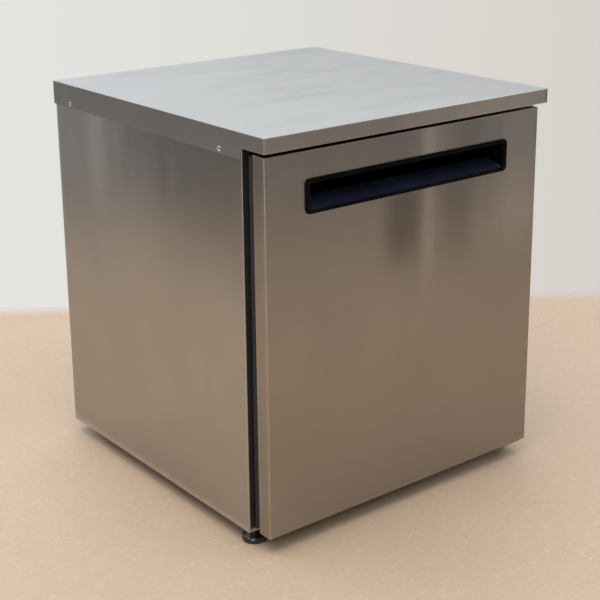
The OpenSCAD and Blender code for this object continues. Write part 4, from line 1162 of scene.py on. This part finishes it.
# Tall soft lights round the room: compass direction from +Y towards +X and half width, both in
# degrees, and strength
WINDOWS = [
    (136.4, 1.6, 0.9), (133.0, 2.5, 0.35), (145.0, 3.0, 0.25), (142.0, 60.0, 0.22), (60.0, 20.0, 0.6),
    (-29.4, 1.3, 0.7), (-33.5, 2.0, 0.25),
]
# A light that only reflections pick up, in the same form
EDGE_LIGHT = -128.0, 14.0, 5.0
# Colours of the room from the floor to the ceiling, with their places on a scale from 0 to 1
ROOM = [
    (0.3, (0.05, 0.043, 0.036)), (0.5, (0.06, 0.055, 0.05)), (0.62, (0.10, 0.10, 0.10)),
    (0.8, (0.85, 0.85, 0.85)),
]
REFLECTED_WALL = (1.0, 1.03, 1.06)
BACKDROP_LEFT, BACKDROP_RIGHT = (0.78, 0.775, 0.745), (0.68, 0.65, 0.61)


def make_world():
    """Plain pale backdrop for the camera, while reflections see a pale wall and a dim room."""
    world = bpy.data.worlds.new("studio")
    bpy.context.scene.world = world
    world.use_nodes = True
    g = Graph(world.node_tree)
    g.tree.nodes.clear()

    def by_height(value, stops):
        """A ramp of (position, colour) stops."""
        made = g.node("ShaderNodeValToRGB", {"Fac": value})
        elements = made.color_ramp.elements
        while len(elements) < len(stops):
            elements.new(1.0)
        for element, (position, colour) in zip(elements, stops):
            element.position, element.color = position, rgba(colour)
        return made.outputs["Color"]

    def window(azimuth, half_width, strength):
        """A tall soft light in one compass direction of the dim room."""
        away = g.math("ABSOLUTE", g.math("SUBTRACT", compass, math.radians(azimuth)))
        return g.fade(away, math.radians(half_width), 0.0, strength)

    way = g.node("ShaderNodeTexCoord").outputs["Generated"]
    part = g.node("ShaderNodeSeparateXYZ", {"Vector": way}).outputs
    compass = g.math("ARCTAN2", part["X"], part["Y"])
    path = g.node("ShaderNodeLightPath").outputs
    room = by_height(g.between(part["Z"], -1.0, 1.0), ROOM)
    glow = g.math("MULTIPLY", window(*EDGE_LIGHT), path["Is Glossy Ray"])
    for light in WINDOWS:
        glow = g.math("ADD", glow, window(*light))
    room = g.mix(1.0, room, glow, "ADD")
    seen = g.mix(g.fade(g.dot(way, BEHIND), 0.35, 0.75), room, REFLECTED_WALL)
    sweep = g.between(compass, math.radians(26), math.radians(50))
    backdrop = g.mix(sweep, BACKDROP_LEFT, BACKDROP_RIGHT)
    colour = g.mix(path["Is Camera Ray"], seen, backdrop)
    back = g.node("ShaderNodeBackground", {"Color": colour, "Strength": 1.0}).outputs["Background"]
    g.node("ShaderNodeOutputWorld", {"Surface": back})


make_world()
bpy.context.scene.view_settings.view_transform = "Standard"


# ---- camera ----

# Fitted to the photo's straight edges: yaw from +Y towards +X, pitch downwards, and roll
EYE = Vector((-1.5999, -2.0575, 1.2475))
YAW, PITCH, ROLL = (math.radians(a) for a in (38.045, 16.233, -0.562))


def make_camera():
    data = bpy.data.cameras.new("camera")
    data.lens, data.sensor_width = 79.2, 36.0
    data.shift_x, data.shift_y = 0.0012, -0.1275
    cam = bpy.data.objects.new("camera", data)
    bpy.context.scene.collection.objects.link(cam)
    ahead = Vector((math.sin(YAW) * math.cos(PITCH), math.cos(YAW) * math.cos(PITCH), -math.sin(PITCH)))
    level = Vector((math.cos(YAW), -math.sin(YAW), 0))
    over = level.cross(ahead)
    right = math.cos(ROLL) * level + math.sin(ROLL) * over
    up = -math.sin(ROLL) * level + math.cos(ROLL) * over
    cam.matrix_world = Matrix.Translation(EYE) @ Matrix((right, up, -ahead)).transposed().to_4x4()
    bpy.context.scene.camera = cam


make_camera()
